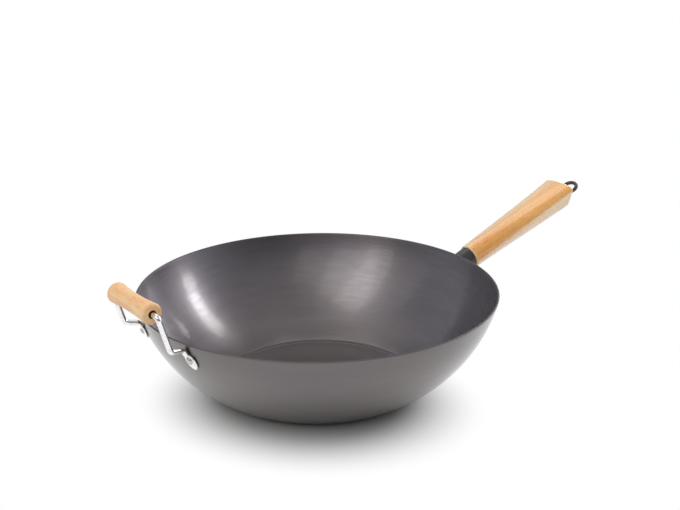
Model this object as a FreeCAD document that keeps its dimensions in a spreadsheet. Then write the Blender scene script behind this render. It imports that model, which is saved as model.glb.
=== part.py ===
import FreeCAD, Part
import math
import os

import Sketcher
from FreeCAD import Placement, Rotation, Vector

# Flat-bottomed carbon steel wok with a long wooden handle and a helper grip.
# Millimetres and degrees. The origin is the centre of the base, on the surface
# it stands on: +Z up, +X towards the long handle, the helper grip at -X.

SIZES = {
    # Bowl: a flat base, a corner and one wall arc up to the rim
    "rim_radius": 175.0,
    "bowl_height": 96.5,
    "base_radius": 95.5,
    "base_corner_radius": 10.0,
    "wall_arc_radius": 151.0,
    "steel_thickness": 1.6,
    "rim_edge_round": 0.5,
    # Ferrule: a tapered sleeve, welded to the outside of the wall
    "handle_root_drop": 18.5,
    "handle_tilt": 18.4,
    "ferrule_length": 30.0,
    "ferrule_mouth_diameter": 23.0,
    "ferrule_taper_angle": 3.0,
    "ferrule_wall": 1.8,
    "weld_leg": 2.4,
    "plug_depth": 12.0,
    "plug_length": 8.0,
    "plug_clearance": 0.05,
    # Long handle: round at the ferrule, a crowned top between two ridges at its end
    "handle_length": 144.0,
    "handle_root_diameter": 25.8,
    "handle_root_chamfer": 1.0,
    "handle_root_shoulder_angle": 52.0,
    "handle_root_ridge_angle": 6.0,
    "handle_root_heel_angle": 60.0,
    "handle_end_width": 41.6,
    "handle_end_ridge_height": 11.2,
    "handle_end_crown_height": 16.3,
    "handle_end_shoulder_width": 27.0,
    "handle_end_shoulder_height": 15.5,
    "handle_end_heel_width": 24.0,
    "handle_end_heel_depth": 8.5,
    "handle_end_keel_depth": 13.8,
    "handle_end_round": 2.0,
    "tenon_length": 9.0,
    "tenon_clearance": 0.1,
    # Rod through the handle, with a hanging eye at its outer end
    "rod_diameter": 5.0,
    "rod_clearance": 0.3,
    "rod_thread_clearance": 0.02,
    "shoulder_diameter": 7.5,
    "shoulder_length": 4.5,
    "eye_radius": 7.6,
    "eye_wire_diameter": 4.0,
    "eye_roll": 4.0,
    "eye_lift": 12.0,
    "washer_diameter": 16.0,
    "washer_thickness": 1.2,
    # Helper bail: a bent wire with a flattened lug at each end
    "bail_wire_diameter": 5.2,
    "bail_leg_spread": 86.5,
    "bail_bend_radius": 4.0,
    "bail_knee_standoff": 9.7,
    "bail_knee_drop": 3.5,
    "lug_rivet_spread": 85.2,
    "lug_rivet_drop": 15.2,
    "lug_length": 21.0,
    "lug_width": 12.0,
    "lug_thickness": 2.6,
    "lug_lean": 21.0,
    "lug_neck_length": 2.4,
    "lug_neck_gap": 0.1,
    "lug_neck_width": 9.0,
    "lug_neck_inset": 0.2,
    "lug_wall_gap": 0.05,
    # Rivets
    "rivet_diameter": 5.0,
    "rivet_clearance": 0.02,
    "rivet_head_diameter": 8.4,
    "rivet_head_height": 2.6,
    "rivet_inner_head_height": 1.0,
    "rivet_inner_seat": 0.1,
    # Helper grip: a waisted wooden sleeve that turns on the bail wire
    "grip_axis_standoff": 20.1,
    "grip_axis_rise": 30.9,
    "grip_length": 68.0,
    "grip_end_diameter": 19.6,
    "grip_waist_diameter": 17.0,
    "grip_end_round": 2.8,
    "grip_bore_clearance": 0.08,
    "grip_bore_mouth": 0.9,
}

doc = FreeCAD.newDocument("wok")
sheet = doc.addObject("Spreadsheet::Sheet", "Sizes")
for row, (alias, number) in enumerate(SIZES.items(), start=1):
    sheet.set(f"A{row}", alias)
    sheet.set(f"B{row}", str(number))
    sheet.setAlias(f"B{row}", alias)
doc.recompute()


def size(alias):
    return float(getattr(sheet, alias))


def value(expression):
    return float(sheet.evalExpression(expression))


def arc_radius(half_chord, sag):
    """Expression for the radius of an arc from its half chord and its height."""
    return f"({half_chord} ^ 2 + {sag} ^ 2) / (2 * {sag})"


# Shared helpers for bodies and sketches


def new_body(name):
    return doc.addObject("PartDesign::Body", name)


def new_sketch(body, name, role):
    sketch = body.newObject("Sketcher::SketchObject", name)
    planes = [feature for feature in body.Origin.OriginFeatures if feature.Role == role]
    sketch.AttachmentSupport = [(planes[0], "")]
    sketch.MapMode = "FlatFace"
    return sketch


def line(sketch, start, end):
    return sketch.addGeometry(Part.LineSegment(Vector(*start), Vector(*end)))


def arc(sketch, centre, radius, start_angle, end_angle):
    circle = Part.Circle(Vector(*centre), Vector(0, 0, 1), radius)
    return sketch.addGeometry(Part.ArcOfCircle(circle, start_angle, end_angle))


def constrain(sketch, kind, *places):
    return sketch.addConstraint(Sketcher.Constraint(kind, *places))


def dimension(sketch, name, expression, kind, *places):
    index = sketch.addConstraint(Sketcher.Constraint(kind, *places, value(expression)))
    sketch.renameConstraint(index, name)
    sketch.setExpression(f"Constraints.{name}", expression)


def revolve(body, sketch, axis):
    revolution = body.newObject("PartDesign::Revolution", f"{body.Name}_revolution")
    revolution.Profile = sketch
    revolution.ReferenceAxis = (sketch, [axis])
    revolution.Angle = 360.0
    sketch.Visibility = False
    doc.recompute()
    return revolution


def named_part(kind, name, placement=None, **expressions):
    part = doc.addObject(kind, name)
    for prop, expression in expressions.items():
        part.setExpression(prop, expression)
    if placement is not None:
        part.Placement = placement
    return part


def boolean(kind, name, base, tool):
    result = doc.addObject(kind, name)
    result.Base = base
    result.Tool = tool
    return result


ORIGIN = (-1, 1)


def h_axis():
    """The number a sketch gives its horizontal axis."""
    return -1


def v_axis():
    """The number a sketch gives its vertical axis."""
    return -2


# Where the wall lies


def wall_centre():
    """Centre of the wall's arc, as radius and height."""
    corner = Vector(size("base_radius"), size("base_corner_radius"))
    rim = Vector(size("rim_radius"), size("bowl_height"))
    chord = rim - corner
    near = size("wall_arc_radius") - size("base_corner_radius")
    far = size("wall_arc_radius")
    along = (near**2 - far**2 + chord.Length**2) / (2 * chord.Length)
    across = math.sqrt(near**2 - along**2)
    direction = Vector(chord).normalize()
    inward = Vector(-direction.y, direction.x)
    return corner + direction * along + inward * across


def wall_at(height):
    """Outer radius of the wall at a height, and its outward normal as radius and height."""
    centre = wall_centre()
    rise = height - centre.y
    reach = math.sqrt(size("wall_arc_radius") ** 2 - rise**2)
    normal = Vector(reach, rise).normalize()
    return centre.x + reach, normal


def around(azimuth, radius, height):
    """A point at an azimuth about the bowl's axis."""
    return Vector(radius * math.cos(azimuth), radius * math.sin(azimuth), height)


# Bowl


def wall_profile(body, thickness_alias, side):
    """A layer that follows the outside of the bowl: side 1 grows inwards, -1 outwards."""
    sketch = new_sketch(body, f"{body.Name}_profile", "YZ_Plane")
    centre = wall_centre()
    base = size("base_radius")
    corner = size("base_corner_radius")
    wall = size("wall_arc_radius")
    rim = (size("rim_radius"), size("bowl_height"))
    depth = side * size(thickness_alias)
    turn = math.atan2(corner - centre.y, base - centre.x)
    rim_angle = math.atan2(rim[1] - centre.y, rim[0] - centre.x)
    layer_angle = math.asin((rim[1] - centre.y) / (wall - depth))
    layer_rim = (centre.x + (wall - depth) * math.cos(layer_angle), rim[1])

    base_line = line(sketch, (0, 0), (base, 0))
    corner_arc = arc(sketch, (base, corner), corner, -math.pi / 2, turn)
    wall_arc = arc(sketch, (centre.x, centre.y), wall, turn, rim_angle)
    rim_line = line(sketch, rim, layer_rim)
    layer_wall = arc(sketch, (centre.x, centre.y), wall - depth, turn, layer_angle)
    layer_corner = arc(sketch, (base, corner), corner - depth, -math.pi / 2, turn)
    layer_base = line(sketch, (0, depth), (base, depth))
    axis_line = line(sketch, (0, depth), (0, 0))

    constrain(sketch, "Coincident", base_line, 1, *ORIGIN)
    constrain(sketch, "Horizontal", base_line)
    constrain(sketch, "Tangent", base_line, 2, corner_arc, 1)
    constrain(sketch, "Tangent", corner_arc, 2, wall_arc, 1)
    constrain(sketch, "Coincident", wall_arc, 2, rim_line, 1)
    constrain(sketch, "Horizontal", rim_line)
    constrain(sketch, "Coincident", rim_line, 2, layer_wall, 2)
    constrain(sketch, "Tangent", layer_wall, 1, layer_corner, 2)
    constrain(sketch, "Tangent", layer_corner, 1, layer_base, 2)
    constrain(sketch, "Horizontal", layer_base)
    constrain(sketch, "Coincident", layer_base, 1, axis_line, 1)
    constrain(sketch, "Coincident", axis_line, 2, base_line, 1)
    constrain(sketch, "Vertical", axis_line)
    constrain(sketch, "Coincident", corner_arc, 3, layer_corner, 3)
    constrain(sketch, "Coincident", wall_arc, 3, layer_wall, 3)
    ends = (axis_line, 2, axis_line, 1) if side > 0 else (axis_line, 1, axis_line, 2)
    dimension(sketch, "thickness", f"Sizes.{thickness_alias}", "DistanceY", *ends)
    bound_outline(sketch, base_line, corner_arc, wall_arc)
    return sketch


def bound_outline(sketch, base_line, corner_arc, wall_arc):
    dimension(sketch, "base", "Sizes.base_radius", "DistanceX", base_line, 1, base_line, 2)
    dimension(sketch, "corner", "Sizes.base_corner_radius", "Radius", corner_arc)
    dimension(sketch, "wall", "Sizes.wall_arc_radius", "Radius", wall_arc)
    dimension(sketch, "rim", "Sizes.rim_radius", "DistanceX", *ORIGIN, wall_arc, 2)
    dimension(sketch, "height", "Sizes.bowl_height", "DistanceY", *ORIGIN, wall_arc, 2)


def make_envelope():
    """The whole space inside the bowl's outer surface, used to shape what is welded to it."""
    body = new_body("bowl_envelope")
    sketch = new_sketch(body, "bowl_envelope_profile", "YZ_Plane")
    centre = wall_centre()
    base = size("base_radius")
    corner = size("base_corner_radius")
    rim = (size("rim_radius"), size("bowl_height"))
    turn = math.atan2(corner - centre.y, base - centre.x)
    rim_angle = math.atan2(rim[1] - centre.y, rim[0] - centre.x)
    base_line = line(sketch, (0, 0), (base, 0))
    corner_arc = arc(sketch, (base, corner), corner, -math.pi / 2, turn)
    wall_arc = arc(sketch, (centre.x, centre.y), size("wall_arc_radius"), turn, rim_angle)
    top_line = line(sketch, rim, (0, rim[1]))
    axis_line = line(sketch, (0, rim[1]), (0, 0))
    constrain(sketch, "Coincident", base_line, 1, *ORIGIN)
    constrain(sketch, "Horizontal", base_line)
    constrain(sketch, "Tangent", base_line, 2, corner_arc, 1)
    constrain(sketch, "Tangent", corner_arc, 2, wall_arc, 1)
    constrain(sketch, "Coincident", wall_arc, 2, top_line, 1)
    constrain(sketch, "Horizontal", top_line)
    constrain(sketch, "Coincident", top_line, 2, axis_line, 1)
    constrain(sketch, "Coincident", axis_line, 2, base_line, 1)
    constrain(sketch, "Vertical", axis_line)
    bound_outline(sketch, base_line, corner_arc, wall_arc)
    revolve(body, sketch, "V_Axis")
    return body


def make_bowl():
    body = new_body("bowl_blank")
    spun = revolve(body, wall_profile(body, "steel_thickness", 1), "V_Axis")
    rim_edges = []
    for number, edge in enumerate(spun.Shape.Edges, start=1):
        heights = [vertex.Z for vertex in edge.Vertexes]
        closed = edge.BoundBox.XLength > size("rim_radius")
        if closed and all(abs(height - size("bowl_height")) < 1e-6 for height in heights):
            rim_edges.append(f"Edge{number}")
    rounded = body.newObject("PartDesign::Fillet", "rim_rounding")
    rounded.Base = (spun, rim_edges)
    rounded.setExpression("Radius", "Sizes.rim_edge_round")
    doc.recompute()

    drills = [rivet_drill(f"bowl_drill_{name}", azimuth) for name, azimuth in rivet_azimuths()]
    both = doc.addObject("Part::MultiFuse", "bowl_drills")
    both.Shapes = drills
    bowl = boolean("Part::Cut", "bowl_drilled", body, both)
    bowl.Label = "wok_bowl"
    return bowl


# Helper side: rivets, lugs, bail and grip


def rivet_height():
    return size("bowl_height") - size("lug_rivet_drop")


def rivet_azimuths():
    radius, _ = wall_at(rivet_height())
    spread = math.asin(size("lug_rivet_spread") / 2 / radius)
    return (("right", math.pi + spread), ("left", math.pi - spread))


def rivet_frame(azimuth):
    """Point on the outside of the wall under a rivet, and the outward normal there."""
    height = rivet_height()
    radius, normal = wall_at(height)
    return around(azimuth, radius, height), around(azimuth, normal.x, normal.y)


def rivet_placement(azimuth):
    point, normal = rivet_frame(azimuth)
    return Placement(point, Rotation(Vector(0, 0, 1), normal))


def rivet_drill(name, azimuth):
    """A cylinder through the wall and the lug along the rivet's axis."""
    drill = named_part(
        "Part::Cylinder",
        name,
        Radius="Sizes.rivet_diameter / 2",
        Height="4 * (Sizes.lug_thickness + Sizes.steel_thickness)",
    )
    sink = Vector(0, 0, -2 * (size("lug_thickness") + size("steel_thickness")))
    drill.Placement = rivet_placement(azimuth) * Placement(sink, Rotation())
    return drill


def make_rivet(side, azimuth):
    """A rivet along local Z: a domed head on the lug, a low head inside the bowl."""
    body = new_body(f"rivet_{side}")
    sketch = new_sketch(body, f"rivet_{side}_profile", "XZ_Plane")
    shank = size("rivet_diameter") / 2 - size("rivet_clearance")
    head = size("rivet_head_diameter") / 2
    seat = size("lug_thickness") + size("lug_wall_gap")
    inner_seat = -size("steel_thickness") - size("rivet_inner_seat")
    dome = size("rivet_head_height")
    inner_dome = size("rivet_inner_head_height")
    dome_radius = (head**2 + dome**2) / (2 * dome)
    inner_radius = (head**2 + inner_dome**2) / (2 * inner_dome)
    dome_angle = math.asin(head / dome_radius)
    inner_angle = math.asin(head / inner_radius)
    dome_centre = (0, seat + dome - dome_radius)
    inner_centre = (0, inner_seat - inner_dome + inner_radius)

    dome_arc = arc(sketch, dome_centre, dome_radius, math.pi / 2 - dome_angle, math.pi / 2)
    seat_line = line(sketch, (head, seat), (shank, seat))
    shank_line = line(sketch, (shank, seat), (shank, inner_seat))
    inner_line = line(sketch, (shank, inner_seat), (head, inner_seat))
    inner_arc = arc(sketch, inner_centre, inner_radius, -math.pi / 2, inner_angle - math.pi / 2)
    axis_line = line(sketch, (0, inner_seat - inner_dome), (0, seat + dome))

    constrain(sketch, "Coincident", dome_arc, 1, seat_line, 1)
    constrain(sketch, "Coincident", seat_line, 2, shank_line, 1)
    constrain(sketch, "Coincident", shank_line, 2, inner_line, 1)
    constrain(sketch, "Coincident", inner_line, 2, inner_arc, 2)
    constrain(sketch, "Coincident", inner_arc, 1, axis_line, 1)
    constrain(sketch, "Coincident", axis_line, 2, dome_arc, 2)
    constrain(sketch, "PointOnObject", axis_line, 1, v_axis())
    constrain(sketch, "Vertical", axis_line)
    constrain(sketch, "PointOnObject", dome_arc, 3, v_axis())
    constrain(sketch, "PointOnObject", inner_arc, 3, v_axis())
    constrain(sketch, "Horizontal", seat_line)
    constrain(sketch, "Vertical", shank_line)
    constrain(sketch, "Horizontal", inner_line)
    shank_expression = "Sizes.rivet_diameter / 2 - Sizes.rivet_clearance"
    seat_expression = "Sizes.lug_thickness + Sizes.lug_wall_gap"
    inner_seat_expression = "Sizes.steel_thickness + Sizes.rivet_inner_seat"
    inner_dome_expression = "Sizes.rivet_inner_head_height"
    dimension(sketch, "shank", shank_expression, "DistanceX", *ORIGIN, shank_line, 1)
    dimension(sketch, "head", "Sizes.rivet_head_diameter / 2", "DistanceX", *ORIGIN, dome_arc, 1)
    dimension(sketch, "inner_head", "Sizes.rivet_head_diameter / 2", "DistanceX", *ORIGIN, inner_arc, 2)
    dimension(sketch, "seat", seat_expression, "DistanceY", *ORIGIN, seat_line, 1)
    dimension(sketch, "inner_seat", inner_seat_expression, "DistanceY", inner_line, 1, *ORIGIN)
    dimension(sketch, "dome", "Sizes.rivet_head_height", "DistanceY", seat_line, 1, dome_arc, 2)
    dimension(sketch, "inner_dome", inner_dome_expression, "DistanceY", inner_arc, 1, inner_line, 1)
    revolve(body, sketch, "V_Axis")
    body.Placement = rivet_placement(azimuth)
    body.Label = f"helper_rivet_{side}"
    return body


def lug_axes(azimuth):
    """The lug's own axes on the wall: along it to its tip, across it, and outward."""
    _, normal = rivet_frame(azimuth)
    away = 1 if azimuth > math.pi else -1
    tangent = Vector(-math.sin(azimuth), math.cos(azimuth), 0) * away
    up = normal.cross(Vector(-math.sin(azimuth), math.cos(azimuth), 0))
    lean = math.radians(size("lug_lean"))
    along = up * -math.cos(lean) + tangent * math.sin(lean)
    return along, normal.cross(along), normal


def lug_placement(azimuth, along_shift, rise):
    """Placement in the lug's axes: local X along the lug, local Z outward."""
    point, _ = rivet_frame(azimuth)
    along, across, normal = lug_axes(azimuth)
    return Placement(point + along * along_shift + normal * rise, Rotation(along, across, normal, "ZXY"))


def rounded_path(corners, radius):
    """Straight runs between corners, joined by tangent arcs of one radius."""
    edges = []
    start = corners[0]
    for before, corner, after in zip(corners, corners[1:], corners[2:]):
        back = (before - corner).normalize()
        ahead = (after - corner).normalize()
        half = back.getAngle(ahead) / 2
        bisector = (back + ahead).normalize()
        leave = corner + back * (radius / math.tan(half))
        rejoin = corner + ahead * (radius / math.tan(half))
        middle = corner + bisector * (radius / math.sin(half) - radius)
        edges.append(Part.LineSegment(start, leave).toShape())
        edges.append(Part.Arc(leave, middle, rejoin).toShape())
        start = rejoin
    edges.append(Part.LineSegment(start, corners[-1]).toShape())
    return Part.Wire(edges)


def grip_axis():
    """The point where the grip's axis crosses the plane of the two handles."""
    reach = size("rim_radius") + size("grip_axis_standoff")
    return Vector(-reach, 0, size("bowl_height") + size("grip_axis_rise"))


def neck_start():
    """How far above the rivet the round wire ends and its neck begins to flatten."""
    return size("rivet_head_diameter") / 2 + size("lug_neck_gap") + size("lug_neck_length")


def bail_half(azimuth):
    """Corners of one half of the bail's centre line, from the lug to the grip."""
    point, _ = rivet_frame(azimuth)
    along, _, normal = lug_axes(azimuth)
    lift = size("bail_wire_diameter") / 2 + size("lug_wall_gap")
    foot = point + normal * lift - along * neck_start()
    neck = foot - along * size("bail_bend_radius")
    side = math.copysign(size("bail_leg_spread") / 2, point.y)
    knee_reach = size("rim_radius") + size("bail_knee_standoff")
    knee = Vector(-knee_reach, side, size("bowl_height") - size("bail_knee_drop"))
    shoulder = grip_axis() + Vector(0, side, 0)
    return [foot, neck, knee, shoulder]


def make_bail():
    (_, right), (_, left) = rivet_azimuths()
    corners = bail_half(right) + bail_half(left)[::-1]
    path = doc.addObject("Part::Feature", "bail_path")
    path.Shape = rounded_path(corners, size("bail_bend_radius"))
    section = named_part("Part::Circle", "bail_section", Radius="Sizes.bail_wire_diameter / 2")
    section.Placement = Placement(corners[0], Rotation(Vector(0, 0, 1), corners[1] - corners[0]))
    wire = doc.addObject("Part::Sweep", "bail_wire")
    wire.Sections = [section]
    wire.Spine = (path, [f"Edge{number + 1}" for number in range(len(path.Shape.Edges))])
    wire.Solid = True
    pieces = [wire]
    for side, azimuth in rivet_azimuths():
        pieces.extend(make_lug(side, azimuth))
    forged = doc.addObject("Part::MultiFuse", "bail_forged")
    forged.Shapes = pieces
    drills = doc.addObject("Part::MultiFuse", "lug_drills")
    drills.Shapes = [rivet_drill(f"lug_drill_{side}", azimuth) for side, azimuth in rivet_azimuths()]
    bail = boolean("Part::Cut", "bail_drilled", forged, drills)
    bail.Label = "helper_bail"
    return bail


def make_lug(side, azimuth):
    """A flat leaf under the rivet, and a neck that flattens from the round wire into it."""
    outline = named_part(
        "Part::Ellipse",
        f"lug_outline_{side}",
        lug_placement(azimuth, 0, size("lug_wall_gap")),
        MajorRadius="Sizes.lug_length / 2",
        MinorRadius="Sizes.lug_width / 2",
    )
    leaf = doc.addObject("Part::Extrusion", f"lug_leaf_{side}")
    leaf.Base = outline
    leaf.DirMode = "Custom"
    leaf.Dir = lug_axes(azimuth)[2]
    leaf.setExpression("LengthFwd", "Sizes.lug_thickness")
    leaf.Solid = True

    lift = size("bail_wire_diameter") / 2 + size("lug_wall_gap")
    upright = Placement(Vector(), Rotation(Vector(0, 1, 0), Vector(0, 0, 1), Vector(1, 0, 0), "ZXY"))
    foot = -neck_start()
    rounded = named_part(
        "Part::Circle",
        f"neck_round_{side}",
        lug_placement(azimuth, foot, lift) * upright,
        Radius="Sizes.bail_wire_diameter / 2",
    )
    flat_rise = size("lug_wall_gap") + size("lug_thickness") / 2
    flattened = named_part(
        "Part::Ellipse",
        f"neck_flat_{side}",
        lug_placement(azimuth, foot + size("lug_neck_length"), flat_rise) * upright,
        MajorRadius="Sizes.lug_neck_width / 2",
        MinorRadius="Sizes.lug_thickness / 2 - Sizes.lug_neck_inset",
    )
    neck = doc.addObject("Part::Loft", f"lug_neck_{side}")
    neck.Sections = [rounded, flattened]
    neck.Solid = True
    return leaf, neck


def make_grip():
    """A sleeve along local Z, waisted between two rounded ends, turned to lie along Y."""
    body = new_body("grip_blank")
    sketch = new_sketch(body, "grip_profile", "XZ_Plane")
    half = size("grip_length") / 2
    end = size("grip_end_diameter") / 2
    waist = size("grip_waist_diameter") / 2
    rounding = size("grip_end_round")
    mouth = size("grip_bore_mouth")
    bore = size("bail_wire_diameter") / 2 + size("grip_bore_clearance")
    chord = half - rounding
    sag = end - waist
    hollow = (chord**2 + sag**2) / (2 * sag)
    sweep = math.asin(chord / hollow)

    outside = arc(sketch, (waist + hollow, 0), hollow, math.pi - sweep, math.pi + sweep)
    low_round = arc(sketch, (end - rounding, -chord), rounding, -math.pi / 2, 0)
    low_face = line(sketch, (end - rounding, -half), (bore + mouth, -half))
    low_mouth = line(sketch, (bore + mouth, -half), (bore, mouth - half))
    inside = line(sketch, (bore, mouth - half), (bore, half - mouth))
    top_mouth = line(sketch, (bore, half - mouth), (bore + mouth, half))
    top_face = line(sketch, (bore + mouth, half), (end - rounding, half))
    top_round = arc(sketch, (end - rounding, chord), rounding, 0, math.pi / 2)

    constrain(sketch, "Coincident", outside, 2, low_round, 2)
    constrain(sketch, "Coincident", low_round, 1, low_face, 1)
    constrain(sketch, "Coincident", low_face, 2, low_mouth, 1)
    constrain(sketch, "Coincident", low_mouth, 2, inside, 1)
    constrain(sketch, "Coincident", inside, 2, top_mouth, 1)
    constrain(sketch, "Coincident", top_mouth, 2, top_face, 1)
    constrain(sketch, "Coincident", top_face, 2, top_round, 2)
    constrain(sketch, "Coincident", top_round, 1, outside, 1)
    constrain(sketch, "PointOnObject", outside, 3, h_axis())
    constrain(sketch, "Vertical", low_round, 3, low_round, 1)
    constrain(sketch, "Horizontal", low_round, 3, low_round, 2)
    constrain(sketch, "Vertical", top_round, 3, top_round, 2)
    constrain(sketch, "Horizontal", top_round, 3, top_round, 1)
    constrain(sketch, "Horizontal", low_face)
    constrain(sketch, "Horizontal", top_face)
    constrain(sketch, "Symmetric", inside, 1, inside, 2, h_axis())
    constrain(sketch, "Symmetric", low_face, 2, top_face, 1, h_axis())
    constrain(sketch, "Equal", low_round, top_round)
    bore_expression = "Sizes.bail_wire_diameter / 2 + Sizes.grip_bore_clearance"
    dimension(sketch, "half_length", "Sizes.grip_length / 2", "DistanceY", *ORIGIN, top_face, 1)
    dimension(sketch, "rounding", "Sizes.grip_end_round", "Radius", top_round)
    dimension(sketch, "end", "Sizes.grip_end_diameter / 2", "DistanceX", *ORIGIN, outside, 1)
    dimension(sketch, "bore", bore_expression, "DistanceX", *ORIGIN, inside, 1)
    dimension(sketch, "mouth", "Sizes.grip_bore_mouth", "DistanceX", inside, 2, top_face, 1)
    dimension(sketch, "mouth_depth", "Sizes.grip_bore_mouth", "DistanceY", inside, 2, top_face, 1)
    sag_expression = "((Sizes.grip_end_diameter - Sizes.grip_waist_diameter) / 2)"
    chord_expression = "(Sizes.grip_length / 2 - Sizes.grip_end_round)"
    dimension(sketch, "hollow", arc_radius(chord_expression, sag_expression), "Radius", outside)
    revolve(body, sketch, "V_Axis")
    body.Placement = Placement(grip_axis(), Rotation(Vector(1, 0, 0), -90))
    body.Label = "helper_grip"
    return body


# Long handle side: everything lies along one tilted axis


def handle_frame():
    """Placement at the ferrule's mouth: local X out along the handle, local Z its top side."""
    height = size("bowl_height") - size("handle_root_drop")
    radius, _ = wall_at(height)
    turn = Rotation(Vector(0, 1, 0), -size("handle_tilt"))
    mouth = Vector(radius, 0, height) + turn.multVec(Vector(size("ferrule_length"), 0, 0))
    return Placement(mouth, turn)


def on_handle(distance, direction=1):
    """Placement on the handle's axis, with local Z pointing out (1) or back to the bowl (-1)."""
    return handle_frame() * Placement(Vector(distance, 0, 0), Rotation(Vector(0, 1, 0), 90 * direction))


FERRULE_RUN = "(Sizes.ferrule_length + Sizes.ferrule_mouth_diameter)"
FERRULE_NARROWING = f"{FERRULE_RUN} * tan(Sizes.ferrule_taper_angle * 1 deg)"


def ferrule_cone(name, growth):
    """A cone from the ferrule's mouth to inside the bowl, its radius grown by an expression."""
    return named_part(
        "Part::Cone",
        name,
        on_handle(0, -1),
        Radius1=f"Sizes.ferrule_mouth_diameter / 2 {growth}",
        Radius2=f"Sizes.ferrule_mouth_diameter / 2 - {FERRULE_NARROWING} {growth}",
        Height=FERRULE_RUN,
    )


def make_ferrule(envelope):
    outside = ferrule_cone("ferrule_outside", "")
    inside = ferrule_cone("ferrule_inside", "- Sizes.ferrule_wall")
    coped = boolean("Part::Cut", "ferrule_coped", outside, envelope)
    ferrule = boolean("Part::Cut", "ferrule_bored", coped, inside)
    ferrule.Label = "handle_ferrule"
    return ferrule


def make_weld():
    """A ring of weld metal in the corner between the ferrule and the wall."""
    skin = new_body("weld_skin")
    revolve(skin, wall_profile(skin, "weld_leg", -1), "V_Axis")
    reach = ferrule_cone("weld_reach", "+ Sizes.weld_leg")
    ring = boolean("Part::Common", "weld_ring", reach, skin)
    weld = boolean("Part::Cut", "weld_trimmed", ring, ferrule_cone("weld_core", ""))
    weld.Label = "ferrule_weld"
    return weld


def make_plug():
    """A tapered disc that fills the ferrule, with the thread that takes the rod."""
    slope = "tan(Sizes.ferrule_taper_angle * 1 deg)"
    bore = "Sizes.ferrule_mouth_diameter / 2 - Sizes.ferrule_wall - Sizes.plug_clearance"
    disc = named_part(
        "Part::Cone",
        "plug_disc",
        on_handle(-size("plug_depth"), -1),
        Radius1=f"{bore} - Sizes.plug_depth * {slope}",
        Radius2=f"{bore} - (Sizes.plug_depth + Sizes.plug_length) * {slope}",
        Height="Sizes.plug_length",
    )
    thread = named_part(
        "Part::Cylinder",
        "plug_thread",
        on_handle(-size("plug_depth"), -1),
        Radius="Sizes.rod_diameter / 2 + Sizes.rod_thread_clearance",
        Height="Sizes.plug_length",
    )
    plug = boolean("Part::Cut", "plug_tapped", disc, thread)
    plug.Label = "ferrule_plug"
    return plug


def section_sketch(body, name, distance):
    """A sketch square to the handle's axis, at a distance given by an expression."""
    sketch = new_sketch(body, name, "YZ_Plane")
    sketch.setExpression("AttachmentOffset.Base.z", distance)
    return sketch


def root_section(body, name, distance, inset):
    """The handle's round section at the ferrule, split where the end section has its corners."""
    sketch = section_sketch(body, name, distance)
    radius = f"(Sizes.handle_root_diameter / 2 - {inset})"
    shoulder = math.radians(size("handle_root_shoulder_angle"))
    ridge = math.radians(size("handle_root_ridge_angle"))
    heel = math.radians(size("handle_root_heel_angle"))
    left = [math.pi - shoulder, math.pi + ridge, math.pi + heel]
    right = [2 * math.pi - heel, 2 * math.pi - ridge, 2 * math.pi + shoulder]
    turns = [shoulder] + left + right
    arcs = [arc(sketch, (0, 0), value(radius), start, end) for start, end in zip(turns, turns[1:])]
    for current, following in zip(arcs, arcs[1:] + arcs[:1]):
        constrain(sketch, "Coincident", current, 2, following, 1)
    for current in arcs[:-1]:
        constrain(sketch, "Coincident", current, 3, *ORIGIN)
    crown, _, left_flank, keel, right_flank, right_shoulder = arcs
    constrain(sketch, "Equal", crown, right_shoulder)
    constrain(sketch, "Horizontal", crown, 1, crown, 2)
    constrain(sketch, "Horizontal", left_flank, 1, right_flank, 2)
    constrain(sketch, "Horizontal", keel, 1, keel, 2)
    dimension(sketch, "root", radius, "Radius", crown)
    shoulder_rise = f"{radius} * sin(Sizes.handle_root_shoulder_angle * 1 deg)"
    dimension(sketch, "shoulder", shoulder_rise, "DistanceY", *ORIGIN, crown, 1)
    ridge_drop = f"{radius} * sin(Sizes.handle_root_ridge_angle * 1 deg)"
    dimension(sketch, "ridge", ridge_drop, "DistanceY", right_flank, 2, *ORIGIN)
    heel_drop = f"{radius} * sin(Sizes.handle_root_heel_angle * 1 deg)"
    dimension(sketch, "heel", heel_drop, "DistanceY", keel, 2, *ORIGIN)
    return sketch


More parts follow.
